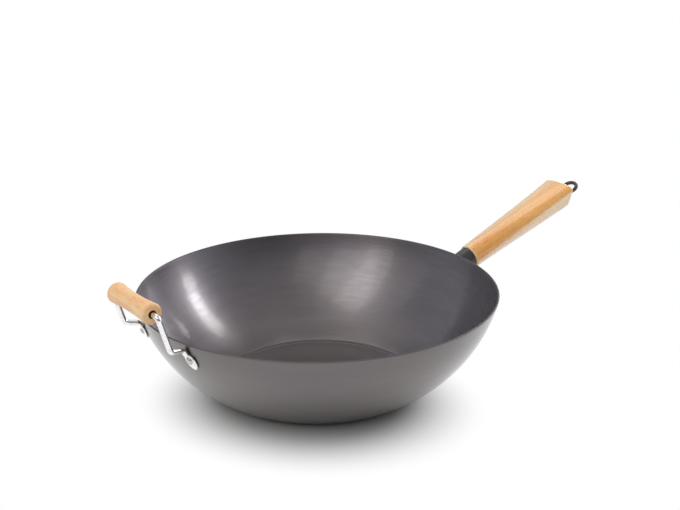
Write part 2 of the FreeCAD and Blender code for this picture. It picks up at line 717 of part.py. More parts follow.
def end_section(body, name, distance, inset):
    """The section at the handle's end: flat crown, rounded shoulders, two flanks and a keel."""
    sketch = section_sketch(body, name, distance)
    half_width = f"(Sizes.handle_end_width / 2 - {inset})"
    ridge_height = f"(Sizes.handle_end_ridge_height - {inset} / 2)"
    shoulder_half_width = f"(Sizes.handle_end_shoulder_width / 2 - {inset} / 2)"
    shoulder_height = f"(Sizes.handle_end_shoulder_height - {inset})"
    crown_height = f"(Sizes.handle_end_crown_height - {inset})"
    heel_half_width = f"(Sizes.handle_end_heel_width / 2 - {inset})"
    heel_depth = f"(Sizes.handle_end_heel_depth - {inset} / 2)"
    keel_depth = f"(Sizes.handle_end_keel_depth - {inset})"
    crown_radius = arc_radius(shoulder_half_width, f"({crown_height} - {shoulder_height})")
    keel_radius = arc_radius(heel_half_width, f"({keel_depth} - {heel_depth})")

    ridge = Vector(value(half_width), value(ridge_height))
    shoulder = Vector(value(shoulder_half_width), value(shoulder_height))
    heel = Vector(value(heel_half_width), -value(heel_depth))
    crown_centre = Vector(0, value(crown_height) - value(crown_radius))
    keel_centre = Vector(0, value(keel_radius) - value(keel_depth))
    outward = (shoulder - crown_centre).normalize()
    fall = shoulder - ridge
    roll_radius = fall.dot(fall) / (2 * fall.dot(outward))
    roll_centre = shoulder - outward * roll_radius
    roll_start = math.atan2(ridge.y - roll_centre.y, ridge.x - roll_centre.x)
    roll_end = math.atan2(outward.y, outward.x)
    keel_end = math.atan2(heel.y - keel_centre.y, heel.x)

    crown = arc(sketch, crown_centre, value(crown_radius), roll_end, math.pi - roll_end)
    mirrored = (-roll_centre.x, roll_centre.y)
    left_shoulder = arc(sketch, mirrored, roll_radius, math.pi - roll_end, math.pi - roll_start)
    left_flank = line(sketch, (-ridge.x, ridge.y), (-heel.x, heel.y))
    keel = arc(sketch, keel_centre, value(keel_radius), math.pi - keel_end, 2 * math.pi + keel_end)
    right_flank = line(sketch, heel, ridge)
    right_shoulder = arc(sketch, roll_centre, roll_radius, roll_start, roll_end)

    constrain(sketch, "Tangent", crown, 2, left_shoulder, 1)
    constrain(sketch, "Coincident", left_shoulder, 2, left_flank, 1)
    constrain(sketch, "Coincident", left_flank, 2, keel, 1)
    constrain(sketch, "Coincident", keel, 2, right_flank, 1)
    constrain(sketch, "Coincident", right_flank, 2, right_shoulder, 1)
    constrain(sketch, "Tangent", right_shoulder, 2, crown, 1)
    constrain(sketch, "Symmetric", crown, 1, crown, 2, v_axis())
    constrain(sketch, "Symmetric", right_flank, 2, left_flank, 1, v_axis())
    constrain(sketch, "Symmetric", keel, 1, keel, 2, v_axis())
    dimension(sketch, "half_width", half_width, "DistanceX", *ORIGIN, right_flank, 2)
    dimension(sketch, "ridge", ridge_height, "DistanceY", *ORIGIN, right_flank, 2)
    dimension(sketch, "shoulder_half_width", shoulder_half_width, "DistanceX", *ORIGIN, crown, 1)
    dimension(sketch, "shoulder", shoulder_height, "DistanceY", *ORIGIN, crown, 1)
    dimension(sketch, "heel_half_width", heel_half_width, "DistanceX", *ORIGIN, keel, 2)
    dimension(sketch, "heel", heel_depth, "DistanceY", keel, 2, *ORIGIN)
    dimension(sketch, "crown", crown_radius, "Radius", crown)
    dimension(sketch, "keel", keel_radius, "Radius", keel)
    return sketch


def circle_sketch(body, name, radius_expression):
    """A circle about the body's X axis."""
    sketch = new_sketch(body, name, "YZ_Plane")
    ring = sketch.addGeometry(Part.Circle(Vector(), Vector(0, 0, 1), value(radius_expression)))
    constrain(sketch, "Coincident", ring, 3, *ORIGIN)
    dimension(sketch, "radius", radius_expression, "Radius", ring)
    return sketch


def make_handle():
    body = new_body("handle_blank")
    bevel = "Sizes.handle_root_chamfer"
    softening = "Sizes.handle_end_round"
    sections = [
        root_section(body, "handle_root_face", "0", bevel),
        root_section(body, "handle_root_section", bevel, "0"),
        end_section(body, "handle_end_section", f"Sizes.handle_length - {softening}", "0"),
        end_section(body, "handle_end_face", "Sizes.handle_length", softening),
    ]
    doc.recompute()
    shaft = body.newObject("PartDesign::AdditiveLoft", "handle_shaft")
    shaft.Profile = sections[0]
    shaft.Sections = [(section, [""]) for section in sections[1:]]
    shaft.Ruled = True
    doc.recompute()

    tenon_radius = "Sizes.ferrule_mouth_diameter / 2 - Sizes.ferrule_wall - Sizes.tenon_clearance"
    tenon_radius += " - Sizes.tenon_length * tan(Sizes.ferrule_taper_angle * 1 deg)"
    tenon = body.newObject("PartDesign::Pad", "handle_tenon")
    tenon.Profile = circle_sketch(body, "tenon_section", tenon_radius)
    tenon.setExpression("Length", "Sizes.tenon_length")
    tenon.Reversed = True
    doc.recompute()

    bore = body.newObject("PartDesign::Pocket", "handle_bore")
    bore.Profile = circle_sketch(body, "bore_section", "Sizes.rod_diameter / 2 + Sizes.rod_clearance")
    bore.Type = "ThroughAll"
    bore.Midplane = True
    doc.recompute()
    body.Placement = handle_frame()
    body.Label = "long_handle"
    return body


def make_eye_rod():
    """One rod from the plug to the shoulder outside the wood, ending in a closed eye."""
    eye_foot = size("handle_length") + size("washer_thickness") + size("shoulder_length")
    rod = named_part(
        "Part::Cylinder",
        "rod_shank",
        on_handle(-size("plug_depth") - size("plug_length")),
        Radius="Sizes.rod_diameter / 2",
        Height="Sizes.plug_depth + Sizes.plug_length + Sizes.handle_length + Sizes.washer_thickness"
        " + Sizes.shoulder_length",
    )
    shoulder = named_part(
        "Part::Cylinder",
        "rod_shoulder",
        on_handle(size("handle_length") + size("washer_thickness")),
        Radius="Sizes.shoulder_diameter / 2",
        Height="Sizes.shoulder_length",
    )
    lift = Rotation(Vector(0, 1, 0), -size("eye_lift"))
    roll = Rotation(Vector(1, 0, 0), size("eye_roll"))
    foot = handle_frame() * Placement(Vector(eye_foot, 0, 0), lift * roll)
    eye = named_part(
        "Part::Torus",
        "rod_eye",
        foot * Placement(Vector(size("eye_radius"), 0, 0), Rotation()),
        Radius1="Sizes.eye_radius",
        Radius2="Sizes.eye_wire_diameter / 2",
    )
    eye_rod = doc.addObject("Part::MultiFuse", "eye_rod")
    eye_rod.Shapes = [rod, shoulder, eye]
    eye_rod.Label = "hanging_eye_rod"
    return eye_rod


def make_washer():
    disc = named_part(
        "Part::Cylinder",
        "washer_disc",
        on_handle(size("handle_length")),
        Radius="Sizes.washer_diameter / 2",
        Height="Sizes.washer_thickness",
    )
    hole = named_part(
        "Part::Cylinder",
        "washer_hole",
        on_handle(size("handle_length")),
        Radius="Sizes.rod_diameter / 2 + Sizes.rod_clearance",
        Height="Sizes.washer_thickness",
    )
    washer = boolean("Part::Cut", "washer_punched", disc, hole)
    washer.Label = "eye_washer"
    return washer


def build():
    envelope = make_envelope()
    pieces = [
        make_bowl(),
        make_ferrule(envelope),
        make_weld(),
        make_plug(),
        make_handle(),
        make_eye_rod(),
        make_washer(),
        make_bail(),
        make_grip(),
    ]
    pieces.extend(make_rivet(side, azimuth) for side, azimuth in rivet_azimuths())
    doc.recompute()
    return pieces


def check(pieces):
    for item in doc.Objects:
        failed = {"Invalid", "Error"} & set(item.State)
        if failed:
            raise RuntimeError(f"{item.Name} is {sorted(failed)}")
    for piece in pieces:
        if piece.Shape.isNull() or not piece.Shape.isValid():
            raise RuntimeError(f"{piece.Label} has no valid shape")
        if len(piece.Shape.Solids) != 1:
            raise RuntimeError(f"{piece.Label} has {len(piece.Shape.Solids)} solids")


pieces = build()
check(pieces)
os.makedirs("parts", exist_ok=True)
for piece in pieces:
    piece.Shape.exportStep(os.path.join("parts", f"{piece.Label}.step"))
    print(f"{piece.Label}: {piece.Shape.Volume:.0f} mm3")
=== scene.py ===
"""Looks of a flat-bottomed carbon steel wok with a long wooden handle and a helper grip.

Metres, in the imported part's own frame: the centre of the base at the origin, +Z up,
+X along the long handle and the helper grip at -X. Angles kept as sizes are in degrees.
"""

import logging
import math
from dataclasses import dataclass, field
from enum import Enum

import bmesh
import bpy
from mathutils import Euler, Matrix, Vector


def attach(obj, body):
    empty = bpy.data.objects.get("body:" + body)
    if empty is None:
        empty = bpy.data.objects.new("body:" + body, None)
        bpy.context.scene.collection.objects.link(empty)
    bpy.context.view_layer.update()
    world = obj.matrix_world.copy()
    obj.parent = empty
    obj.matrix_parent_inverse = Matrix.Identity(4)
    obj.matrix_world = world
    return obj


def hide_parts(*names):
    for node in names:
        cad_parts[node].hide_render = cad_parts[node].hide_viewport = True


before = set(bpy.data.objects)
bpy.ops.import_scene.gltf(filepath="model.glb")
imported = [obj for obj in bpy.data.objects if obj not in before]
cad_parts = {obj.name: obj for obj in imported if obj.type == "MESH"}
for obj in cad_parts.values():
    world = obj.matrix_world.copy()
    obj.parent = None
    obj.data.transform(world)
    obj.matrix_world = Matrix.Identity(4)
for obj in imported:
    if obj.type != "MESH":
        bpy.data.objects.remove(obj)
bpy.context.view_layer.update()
LOG = logging.getLogger("wok")

Pair = tuple[float, float]
Triple = tuple[float, float, float]
# Two inputs, and the outputs at them.
Fade = tuple[float, float, float, float]
Colour = Triple
Profile = list[Pair]
Ring = list[Vector]
Piece = bpy.types.Object
Material = bpy.types.Material
Socket = bpy.types.NodeSocket
Number = Socket | float
Entry = Socket | float | tuple | Vector

FULL_TURN = 2 * math.pi
QUARTER_TURN = math.pi / 2
UP = Vector((0.0, 0.0, 1.0)).freeze()
CREASE = 35.0
SOFT_CREASE = 50.0
POLE_RADIUS = 1e-9


class Body(Enum):
    """The rigid bodies that pieces ride on."""

    WOK = "wok"
    GRIP = "grip"


class Slot(Enum):
    """The record's material slots that pieces take."""

    CARBON_STEEL = "carbon_steel"
    BLACK_STEEL = "black_steel"
    PLATED_STEEL = "plated_steel"
    HANDLE_WOOD = "handle_wood"
    GRIP_WOOD = "grip_wood"


class Side(Enum):
    """The two ends of the helper bail, by the sign of their Y."""

    RIGHT = -1
    LEFT = 1


class LampShape(Enum):
    """Outlines of a soft lamp, by Blender's names."""

    OBLONG = "RECTANGLE"
    OVAL = "ELLIPSE"


# Meshes


def full_turn(steps: int) -> list[float]:
    """Equal angles over a full turn."""
    return [FULL_TURN * step / steps for step in range(steps)]


def equal_shares(steps: int) -> list[float]:
    """Equal shares from 0 to 1, both included."""
    return [step / steps for step in range(steps + 1)]


def arc_points(centre: Pair, radius: float, start: float, end: float, steps: int) -> Profile:
    """Points along an arc, both ends included.

    Args:
        centre: Centre of the arc.
        radius: Radius of the arc.
        start: First angle in radians.
        end: Last angle in radians.
        steps: Number of equal steps.

    Returns:
        The points in order.
    """
    first, second = centre
    turns = [start + (end - start) * step / steps for step in range(steps + 1)]
    return [(first + radius * math.cos(turn), second + radius * math.sin(turn)) for turn in turns]


def line_points(start: Pair, end: Pair, steps: int) -> Profile:
    """Points along a straight line, both ends included.

    Args:
        start: First point.
        end: Last point.
        steps: Number of equal steps.

    Returns:
        The points in order.
    """
    shares = equal_shares(steps)
    return [tuple(a + (b - a) * share for a, b in zip(start, end)) for share in shares]


def mirrored(profile: Profile, signs: Pair) -> Profile:
    """A profile in reverse order, with each part multiplied by its sign."""
    return [(signs[0] * first, signs[1] * second) for first, second in reversed(profile)]


def arc_radius(half_chord: float, sag: float) -> float:
    """Radius of an arc from its half chord and its height."""
    return (half_chord**2 + sag**2) / (2 * sag)


def rounding(radius: float, angle: float) -> Pair:
    """How far a rounded edge falls back from two faces, at an angle in degrees round it."""
    bevel = math.radians(angle)
    return radius * (1 - math.cos(bevel)), radius * (1 - math.sin(bevel))


def eased(share: float, start: float, end: float) -> float:
    """A length between two, with a smooth start and end.

    Args:
        share: How far along, from 0 to 1.
        start: Length at 0.
        end: Length at 1.

    Returns:
        The length.
    """
    return start + (end - start) * share * share * (3 - 2 * share)


def towards(azimuth: float, elevation: float) -> Vector:
    """A unit vector in a direction.

    Args:
        azimuth: Angle about +Z from +X, in degrees.
        elevation: Angle above the floor, in degrees.

    Returns:
        The vector.
    """
    turn = math.radians(azimuth)
    rise = math.radians(elevation)
    flat = math.cos(rise)
    return Vector((flat * math.cos(turn), flat * math.sin(turn), math.sin(rise)))


def round_ring(centre: Vector, first: Vector, second: Vector, radius: float, steps: int) -> Ring:
    """A round ring of points.

    Args:
        centre: Its centre.
        first: Unit vector to its first point.
        second: Unit vector a quarter turn on.
        radius: Its radius.
        steps: Number of points.

    Returns:
        Its points.
    """
    turns = full_turn(steps)
    return [centre + (first * math.cos(turn) + second * math.sin(turn)) * radius for turn in turns]


def skin(name: str, rings: list[Ring], loop: bool = False, crease: float = CREASE) -> Piece:
    """A closed skin over rings of points. A ring of one point is a pole.

    Args:
        name: Name of the new object.
        rings: Rings in order, each of the same number of points or of one.
        loop: Whether the last ring joins the first.
        crease: Angle in degrees above which an edge is sharp.

    Returns:
        The new object, linked to the scene.
    """
    mesh_maker = bmesh.new()
    rows = [[mesh_maker.verts.new(point) for point in ring] for ring in rings]
    pairs = list(zip(rows, rows[1:]))
    if loop:
        pairs.append((rows[-1], rows[0]))
    for near, far in pairs:
        count = max(len(near), len(far))
        for index in range(count):
            following = (index + 1) % count
            corners = [near[index % len(near)], near[following % len(near)]]
            corners += [far[following % len(far)], far[index % len(far)]]
            unique = list(dict.fromkeys(corners))
            if len(unique) > 2:
                mesh_maker.faces.new(unique)
    if not loop:
        for row in (rows[0], rows[-1]):
            if len(row) > 2:
                mesh_maker.faces.new(row)
    bmesh.ops.recalc_face_normals(mesh_maker, faces=mesh_maker.faces)
    mesh = bpy.data.meshes.new(name)
    mesh_maker.to_mesh(mesh)
    mesh_maker.free()
    piece = bpy.data.objects.new(name, mesh)
    bpy.context.scene.collection.objects.link(piece)
    smooth(piece, crease)
    return piece


def smooth(piece: Piece, crease: float) -> None:
    """Shade a piece smooth, with edges above an angle in degrees kept sharp."""
    piece.data.shade_smooth()
    piece.data.set_sharp_from_angle(angle=math.radians(crease))


def lathe(name: str, profile: Profile, steps: int, loop: bool = False) -> Piece:
    """A turned piece about local Z.

    Args:
        name: Name of the new object.
        profile: Radius and height of each ring. A radius of zero makes a pole.
        steps: Points round each ring.
        loop: Whether the profile closes on itself.

    Returns:
        The new object.
    """
    rings = []
    for radius, height in profile:
        turns = full_turn(steps) if radius > POLE_RADIUS else [0.0]
        points = [(radius * math.cos(turn), radius * math.sin(turn), height) for turn in turns]
        rings.append([Vector(point) for point in points])
    return skin(name, rings, loop)


def axes_matrix(origin: Vector, along: Vector, across: Vector) -> Matrix:
    """A placement from an origin, its local X axis and its local Y axis.

    Args:
        origin: Where the local origin goes.
        along: Unit vector of local X.
        across: Unit vector of local Y.

    Returns:
        The placement.
    """
    rotation = Matrix((along, across, along.cross(across))).transposed().to_4x4()
    return Matrix.Translation(origin) @ rotation


def pointing(origin: Vector, direction: Vector) -> Matrix:
    """A placement whose local Z points in a direction.

    Args:
        origin: Where the local origin goes.
        direction: Where local Z points.

    Returns:
        The placement.
    """
    return Matrix.Translation(origin) @ direction.to_track_quat("Z", "Y").to_matrix().to_4x4()


def unite(base: Piece, tool: Piece) -> None:
    """Join a second closed mesh to a first as one solid, and drop the second.

    Args:
        base: The object that keeps the result.
        tool: The object that is joined to it.
    """
    joint = base.modifiers.new("joined", "BOOLEAN")
    joint.operation = "UNION"
    joint.solver = "EXACT"
    joint.object = tool
    bpy.context.view_layer.update()
    view = bpy.context.evaluated_depsgraph_get()
    merged = bpy.data.meshes.new_from_object(base.evaluated_get(view))
    base.modifiers.clear()
    base.data = merged
    bpy.data.objects.remove(tool)
    smooth(base, CREASE)


# Finishes


@dataclass(frozen=True)
class Grain:
    """A cloudy pattern of noise between 0 and 1.

    The scale is in waves per unit, in all directions or along each axis. Detail counts the
    octaves of finer noise and weight is theirs. Limits, if any, are a fade of the noise.
    """

    scale: float | Triple
    detail: float = 2.0
    weight: float = 0.5
    limits: Pair | Fade | None = None


class Graph:
    """A material's node tree, with short calls to add and join nodes."""

    def __init__(self, name: str) -> None:
        """Start a material with an empty tree and an output.

        Args:
            name: Name of the material.
        """
        self.material = bpy.data.materials.new(name)
        self.material.use_nodes = True
        self.start(self.material.node_tree, "ShaderNodeOutputMaterial")

    @classmethod
    def on_tree(cls, tree: bpy.types.NodeTree, output: str) -> "Graph":
        """A graph on a tree that is not a material's.

        Args:
            tree: The tree, which is emptied.
            output: Blender's name of its output node.

        Returns:
            The graph.
        """
        graph = cls.__new__(cls)
        graph.start(tree, output)
        return graph

    def start(self, tree: bpy.types.NodeTree, output: str) -> None:
        """Empty a tree and give it an output.

        Args:
            tree: The tree.
            output: Blender's name of the output node.
        """
        self.tree = tree
        self.tree.nodes.clear()
        self.output = self.add(output)

    def add(self, kind: str, settings: dict | None = None, **inputs: Entry) -> bpy.types.Node:
        """Add a node.

        Args:
            kind: Blender's name of the node type.
            settings: Properties of the node.
            **inputs: Values or sockets for its inputs, with spaces in names as underscores.

        Returns:
            The node.
        """
        node = self.tree.nodes.new(kind)
        for key, entry in (settings or {}).items():
            setattr(node, key, entry)
        for key, entry in inputs.items():
            self.feed(node.inputs[key.replace("_", " ")], entry)
        return node

    def feed(self, socket: Socket, entry: Entry) -> None:
        """Give an input a fixed value, or join a socket to it.

        Args:
            socket: The input.
            entry: A value, or another node's output.
        """
        if isinstance(entry, Socket):
            self.tree.links.new(entry, socket)
        else:
            socket.default_value = entry

    def show(self, node: bpy.types.Node) -> None:
        """Join a shader to the tree's output."""
        self.feed(self.output.inputs["Surface"], node.outputs[0])

    def maths(self, operation: str, *entries: Number, clamp: bool = False) -> Socket:
        """A number worked out from one to three numbers.

        Args:
            operation: Blender's name of the operation.
            *entries: Values or sockets.
            clamp: Whether the result stays within 0 and 1.

        Returns:
            The result's socket.
        """
        node = self.add("ShaderNodeMath", {"operation": operation, "use_clamp": clamp})
        for socket, entry in zip(node.inputs, entries):
            self.feed(socket, entry)
        return node.outputs[0]

    def plus(self, first: Number, second: Number) -> Socket:
        """The sum of two numbers."""
        return self.maths("ADD", first, second)

    def minus(self, first: Number, second: Number) -> Socket:
        """A first number less a second."""
        return self.maths("SUBTRACT", first, second)

    def times(self, first: Number, second: Number) -> Socket:
        """The product of two numbers."""
        return self.maths("MULTIPLY", first, second)

    def times_plus(self, first: Number, second: Number, more: Number) -> Socket:
        """The product of two numbers, with a third added."""
        return self.maths("MULTIPLY_ADD", first, second, more)

    def weighted(self, *parts: tuple[Socket, float]) -> Socket:
        """A sum of numbers, each times its weight.

        Args:
            *parts: Each number with its weight.

        Returns:
            The sum's socket.
        """
        total, *others = [self.times(number, weight) for number, weight in parts]
        for other in others:
            total = self.plus(total, other)
        return total

    def along(self, vector: Socket, direction: Vector) -> Socket:
        """How far a vector reaches along a direction.

        Args:
            vector: The vector.
            direction: A unit vector.

        Returns:
            The distance's socket.
        """
        node = self.add("ShaderNodeVectorMath", {"operation": "DOT_PRODUCT"})
        for socket, entry in zip(node.inputs, (vector, direction)):
            self.feed(socket, entry)
        return node.outputs["Value"]

    def blend(self, share: Number, first: Entry, second: Entry, mode: str = "MIX") -> Socket:
        """A colour mixed from two.

        Args:
            share: How much of the second, from 0 to 1.
            first: First colour or socket.
            second: Second colour or socket.
            mode: Blender's name of the blend mode.

        Returns:
            The colour's socket.
        """
        node = self.add("ShaderNodeMix", {"data_type": "RGBA", "blend_type": mode})
        self.feed(node.inputs[0], share)
        for socket, entry in zip(node.inputs[6:8], (first, second)):
            self.feed(socket, (*entry, 1.0) if isinstance(entry, tuple) else entry)
        return node.outputs[2]

    def scaled(self, vector: Socket, scale: Triple) -> Socket:
        """Coordinates stretched by a factor along each axis."""
        return self.add("ShaderNodeMapping", Vector=vector, Scale=scale).outputs[0]

    def noise(self, vector: Socket, grain: Grain) -> Socket:
        """A cloudy pattern.

        Args:
            vector: Coordinates to read it at.
            grain: The pattern's settings.

        Returns:
            The value's socket.
        """
        scale = grain.scale
        if isinstance(scale, tuple):
            vector, scale = self.scaled(vector, scale), 1.0
        settings = {"Scale": scale, "Detail": grain.detail, "Roughness": grain.weight}
        value = self.add("ShaderNodeTexNoise", Vector=vector, **settings).outputs[0]
        return self.spread(value, *grain.limits) if grain.limits else value

    def spread(
        self, entry: Socket, low: float, high: float, start: float = 0.0, end: float = 1.0
    ) -> Socket:
        """A number moved from one range to another and held within it.

        Args:
            entry: The number's socket.
            low: Input that gives start.
            high: Input that gives end.
            start: Output at low.
            end: Output at high.

        Returns:
            The result's socket.
        """
        limits = {"From_Min": low, "From_Max": high, "To_Min": start, "To_Max": end}
        eased_range = {"interpolation_type": "SMOOTHSTEP"}
        return self.add("ShaderNodeMapRange", eased_range, Value=entry, **limits).outputs[0]

    def reach(self, first: Socket, second: Socket) -> Socket:
        """The length of a flat vector.

        Args:
            first: Its first part.
            second: Its second part.

        Returns:
            The length's socket.
        """
        lengths = [self.maths("ABSOLUTE", part) for part in (first, second)]
        squares = [self.maths("POWER", length, 2.0) for length in lengths]
        return self.maths("SQRT", self.plus(*squares))

    def relief(self, height: Socket, strength: float, distance: float) -> Socket:
        """A surface normal with fine relief.

        Args:
            height: Height from 0 to 1.
            strength: Share of the relief that shows.
            distance: Real height in metres.

        Returns:
            The normal's socket.
        """
        sizes = {"Strength": strength, "Distance": distance}
        return self.add("ShaderNodeBump", Height=height, **sizes).outputs[0]

    def placed(self, location: Vector, rotation: Euler) -> Socket:
        """Coordinates in metres, in a placement.

        Args:
            location: The placement's origin.
            rotation: Its turn.

        Returns:
            The coordinates.
        """
        node = self.add("ShaderNodeMapping", {"vector_type": "TEXTURE"}, Vector=self.place())
        node.inputs["Location"].default_value = location
        node.inputs["Rotation"].default_value = rotation
        return node.outputs[0]

    def place(self) -> Socket:
        """Coordinates in metres, in the part's own frame."""
        return self.add("ShaderNodeTexCoord").outputs["Object"]

    def split(self, vector: Socket) -> tuple[Socket, Socket, Socket]:
        """The three parts of a vector."""
        return tuple(self.add("ShaderNodeSeparateXYZ", Vector=vector).outputs)

    def surface(self, **inputs: Entry) -> Material:
        """Finish the material with its main shader.

        Args:
            **inputs: Values or sockets of the shader's inputs.

        Returns:
            The material.
        """
        self.show(self.add("ShaderNodeBsdfPrincipled", **inputs))
        return self.material


@dataclass(frozen=True)
class SpunSteel:
    """Dark satin carbon steel, brushed round the bowl's axis under a thin clear film.

    Brushed grains count in lines along the profile, and then round the axis. Tones are
    shares that a pattern adds to the colour. The outer face, the base's disc and the wall's
    foot are darkened as painted shade, and the line round the base is lightened as a
    painted highlight. Edges and depths are in metres.
    """

    bowl: "Bowl"
    name: str = "spun_carbon_steel"
    warm: Colour = (0.192, 0.167, 0.162)
    blued: Colour = (0.159, 0.149, 0.181)
    blued_azimuth: float = -36.0
    blued_sides: Fade = (0.0, 0.14, 0.0, 0.42)
    blued_far_side: Fade = (0.0, 0.14, 0.0, 0.18)
    blued_rim: Fade = (0.03, 0.09, 0.0, 0.16)
    clouds: Grain = Grain(9.0, 3.0, limits=(0.36, 0.68, 0.0, 0.34))
    lines_per_metre: float = 700.0
    lines: Grain = Grain((1.0, 2.6, 2.6), 4.0, 0.62)
    streaks: Grain = Grain((0.12, 1.6, 1.6), 3.0)
    ragged: Grain = Grain((0.50, 9.0, 9.0), 3.0, 0.6)
    combed: Grain = Grain((0.42, 5.0, 5.0), 3.0, 0.6, (0.64, 0.36, -0.10, 0.34))
    mottle: Grain = Grain(60.0, 4.0, 0.6)
    plain_tone: float = 0.73
    line_tone: float = 0.26
    streak_tone: float = 0.18
    mottle_tone: float = 0.10
    # Painted shade darkens the outer face, the base's disc and the wall's foot; a painted highlight
    # lightens the line round the base.
    outer_painted_shade: float = 0.80
    ring_painted_highlight: float = 0.20
    disc_painted_shade: float = -0.10
    foot_painted_shade: float = -0.34
    metallic: float = 0.85
    roughness: float = 0.24
    line_roughness: float = 0.14
    mottle_roughness: float = 0.10
    rim_roughness: float = 0.30
    anisotropy: float = 0.5
    brushing_turn: float = 0.25
    line_relief: float = 0.00004
    line_relief_share: float = 0.15
    film: float = 0.9
    outer_film: float = 0.76
    film_roughness: float = 0.105
    film_relief: float = 0.0001
    bare_foot: float = 0.65
    rim_edge: Pair = (0.0011, 0.0003)
    inner_depth: Pair = (0.0004, 0.0012)
    base_depth: Pair = (0.0005, 0.0012)
    disc_edge: Pair = (0.0006, -0.0012)
    ring_shift: float = 0.0003
    ring_edge: Pair = (0.0016, 0.0002)
    foot_edge: Pair = (0.034, 0.008)

    def build(self) -> Material:
        """Make the material.

        Returns:
            The material.
        """
        graph = Graph(self.name)
        place = graph.place()
        across_x, across_y, height = graph.split(place)
        radius = graph.reach(across_x, across_y)
        run = graph.times(graph.plus(radius, height), self.lines_per_metre)
        turns = [graph.maths("DIVIDE", across, radius) for across in (across_x, across_y)]
        brushed = graph.add("ShaderNodeCombineXYZ", X=run, Y=turns[0], Z=turns[1]).outputs[0]
        lines = graph.noise(brushed, self.lines)
        streaks = graph.noise(brushed, self.streaks)
        mottle = graph.noise(place, self.mottle)
        inside = self.inner_face(graph, radius, height)
        shaded_disc, foot, ring = self.painted_base_marks(graph, radius, height)
        edge = graph.spread(height, *(self.bowl.height - depth for depth in self.rim_edge))

        tones = (self.line_tone, self.streak_tone, self.mottle_tone)
        shade = graph.plus(graph.weighted(*zip((lines, streaks, mottle), tones)), self.plain_tone)
        # Painted highlight on the line round the base; painted shade on the base's disc, the wall's
        # foot and the outer face.
        tone = graph.times_plus(ring, self.ring_painted_highlight, 1.0)
        for mark, change in ((shaded_disc, self.disc_painted_shade), (foot, self.foot_painted_shade)):
            tone = graph.times_plus(mark, change, tone)
        painted_face_shade = graph.times_plus(inside, 1.0 - self.outer_painted_shade, self.outer_painted_shade)
        shade = graph.times(shade, graph.times(tone, painted_face_shade))
        grey = graph.add("ShaderNodeCombineColor", Red=shade, Green=shade, Blue=shade).outputs[0]
        tint = graph.blend(self.blueing(graph, place, inside, height), self.warm, self.blued)

        amounts = (self.line_roughness, self.mottle_roughness, self.rim_roughness)
        dull = graph.weighted(*zip((lines, mottle, edge), amounts))
        bare = graph.maths("MAXIMUM", edge, graph.times(foot, self.bare_foot))
        worn = graph.times(graph.noise(brushed, self.combed), inside)
        film = graph.times_plus(inside, self.film - self.outer_film, self.outer_film)
        round_axis = {"direction_type": "RADIAL", "axis": "Z"}
        return graph.surface(
            Base_Color=graph.blend(1.0, tint, grey, "MULTIPLY"),
            Metallic=self.metallic,
            Roughness=graph.plus(dull, self.roughness),
            Anisotropic=self.anisotropy,
            Anisotropic_Rotation=self.brushing_turn,
            Tangent=graph.add("ShaderNodeTangent", round_axis).outputs[0],
            Coat_Weight=graph.times(graph.minus(1.0, bare), graph.minus(film, worn)),
            Coat_Roughness=self.film_roughness,
            Coat_Normal=graph.relief(graph.noise(brushed, self.ragged), 1.0, self.film_relief),
            Normal=graph.relief(lines, self.line_relief_share, self.line_relief),
        )

    def inner_face(self, graph: Graph, radius: Socket, height: Socket) -> Socket:
        """Which face of the wall a point lies on.

        Args:
            graph: The tree to add to.
            radius: Distance from the bowl's axis.
            height: Height above the base.

        Returns:
            0 on the outer face and 1 on the inner one.
        """
        offs = [graph.minus(*pair) for pair in zip((radius, height), self.bowl.wall_centre())]
        faces = [self.bowl.wall_arc_radius - depth for depth in self.inner_depth]
        return graph.spread(graph.reach(*offs), *faces)

    def blueing(self, graph: Graph, place: Socket, inside: Socket, height: Socket) -> Socket:
        """How blue the steel is: cloudy, and bluer inside towards the rim and to one side.

        Args:
            graph: The tree to add to.
            place: Coordinates in metres.
            inside: 0 on the outer face and 1 on the inner one.
            height: Height above the base.

        Returns:
            0 where it is warm grey and 1 where it is blued.
        """
        side = graph.along(place, towards(self.blued_azimuth, 0.0))
        both_sides = graph.spread(graph.maths("ABSOLUTE", side), *self.blued_sides)
        blued = graph.plus(both_sides, graph.spread(side, *self.blued_far_side))
        blued = graph.plus(blued, graph.spread(height, *self.blued_rim))
        clouds = graph.noise(place, self.clouds)
        return graph.maths("MULTIPLY_ADD", blued, inside, clouds, clamp=True)

    def painted_base_marks(self, graph: Graph, radius: Socket, height: Socket) -> tuple[Socket, ...]:
        """Where the base lies inside the bowl, with the foot of the wall and the line round it.

        Args:
            graph: The tree to add to.
            radius: Distance from the bowl's axis.
            height: Height above the base.

        Returns:
            The shares of the base's disc and of the disc with the wall's foot, which take
            painted shade (the foot also loses its film), and of the line round the base, which
            takes a painted highlight, each from 0 to 1.
        """
        ring = self.bowl.base_ring_radius
        inside = graph.spread(height, *self.base_depth)
        shaded_disc = graph.spread(radius, *(ring + step for step in self.disc_edge))
        off = graph.maths("ABSOLUTE", graph.minus(radius, ring + self.ring_shift))
        line = graph.spread(off, *self.ring_edge)
        foot = graph.spread(radius, *(ring + step for step in self.foot_edge))
        return tuple(graph.times(mark, inside) for mark in (shaded_disc, foot, line))


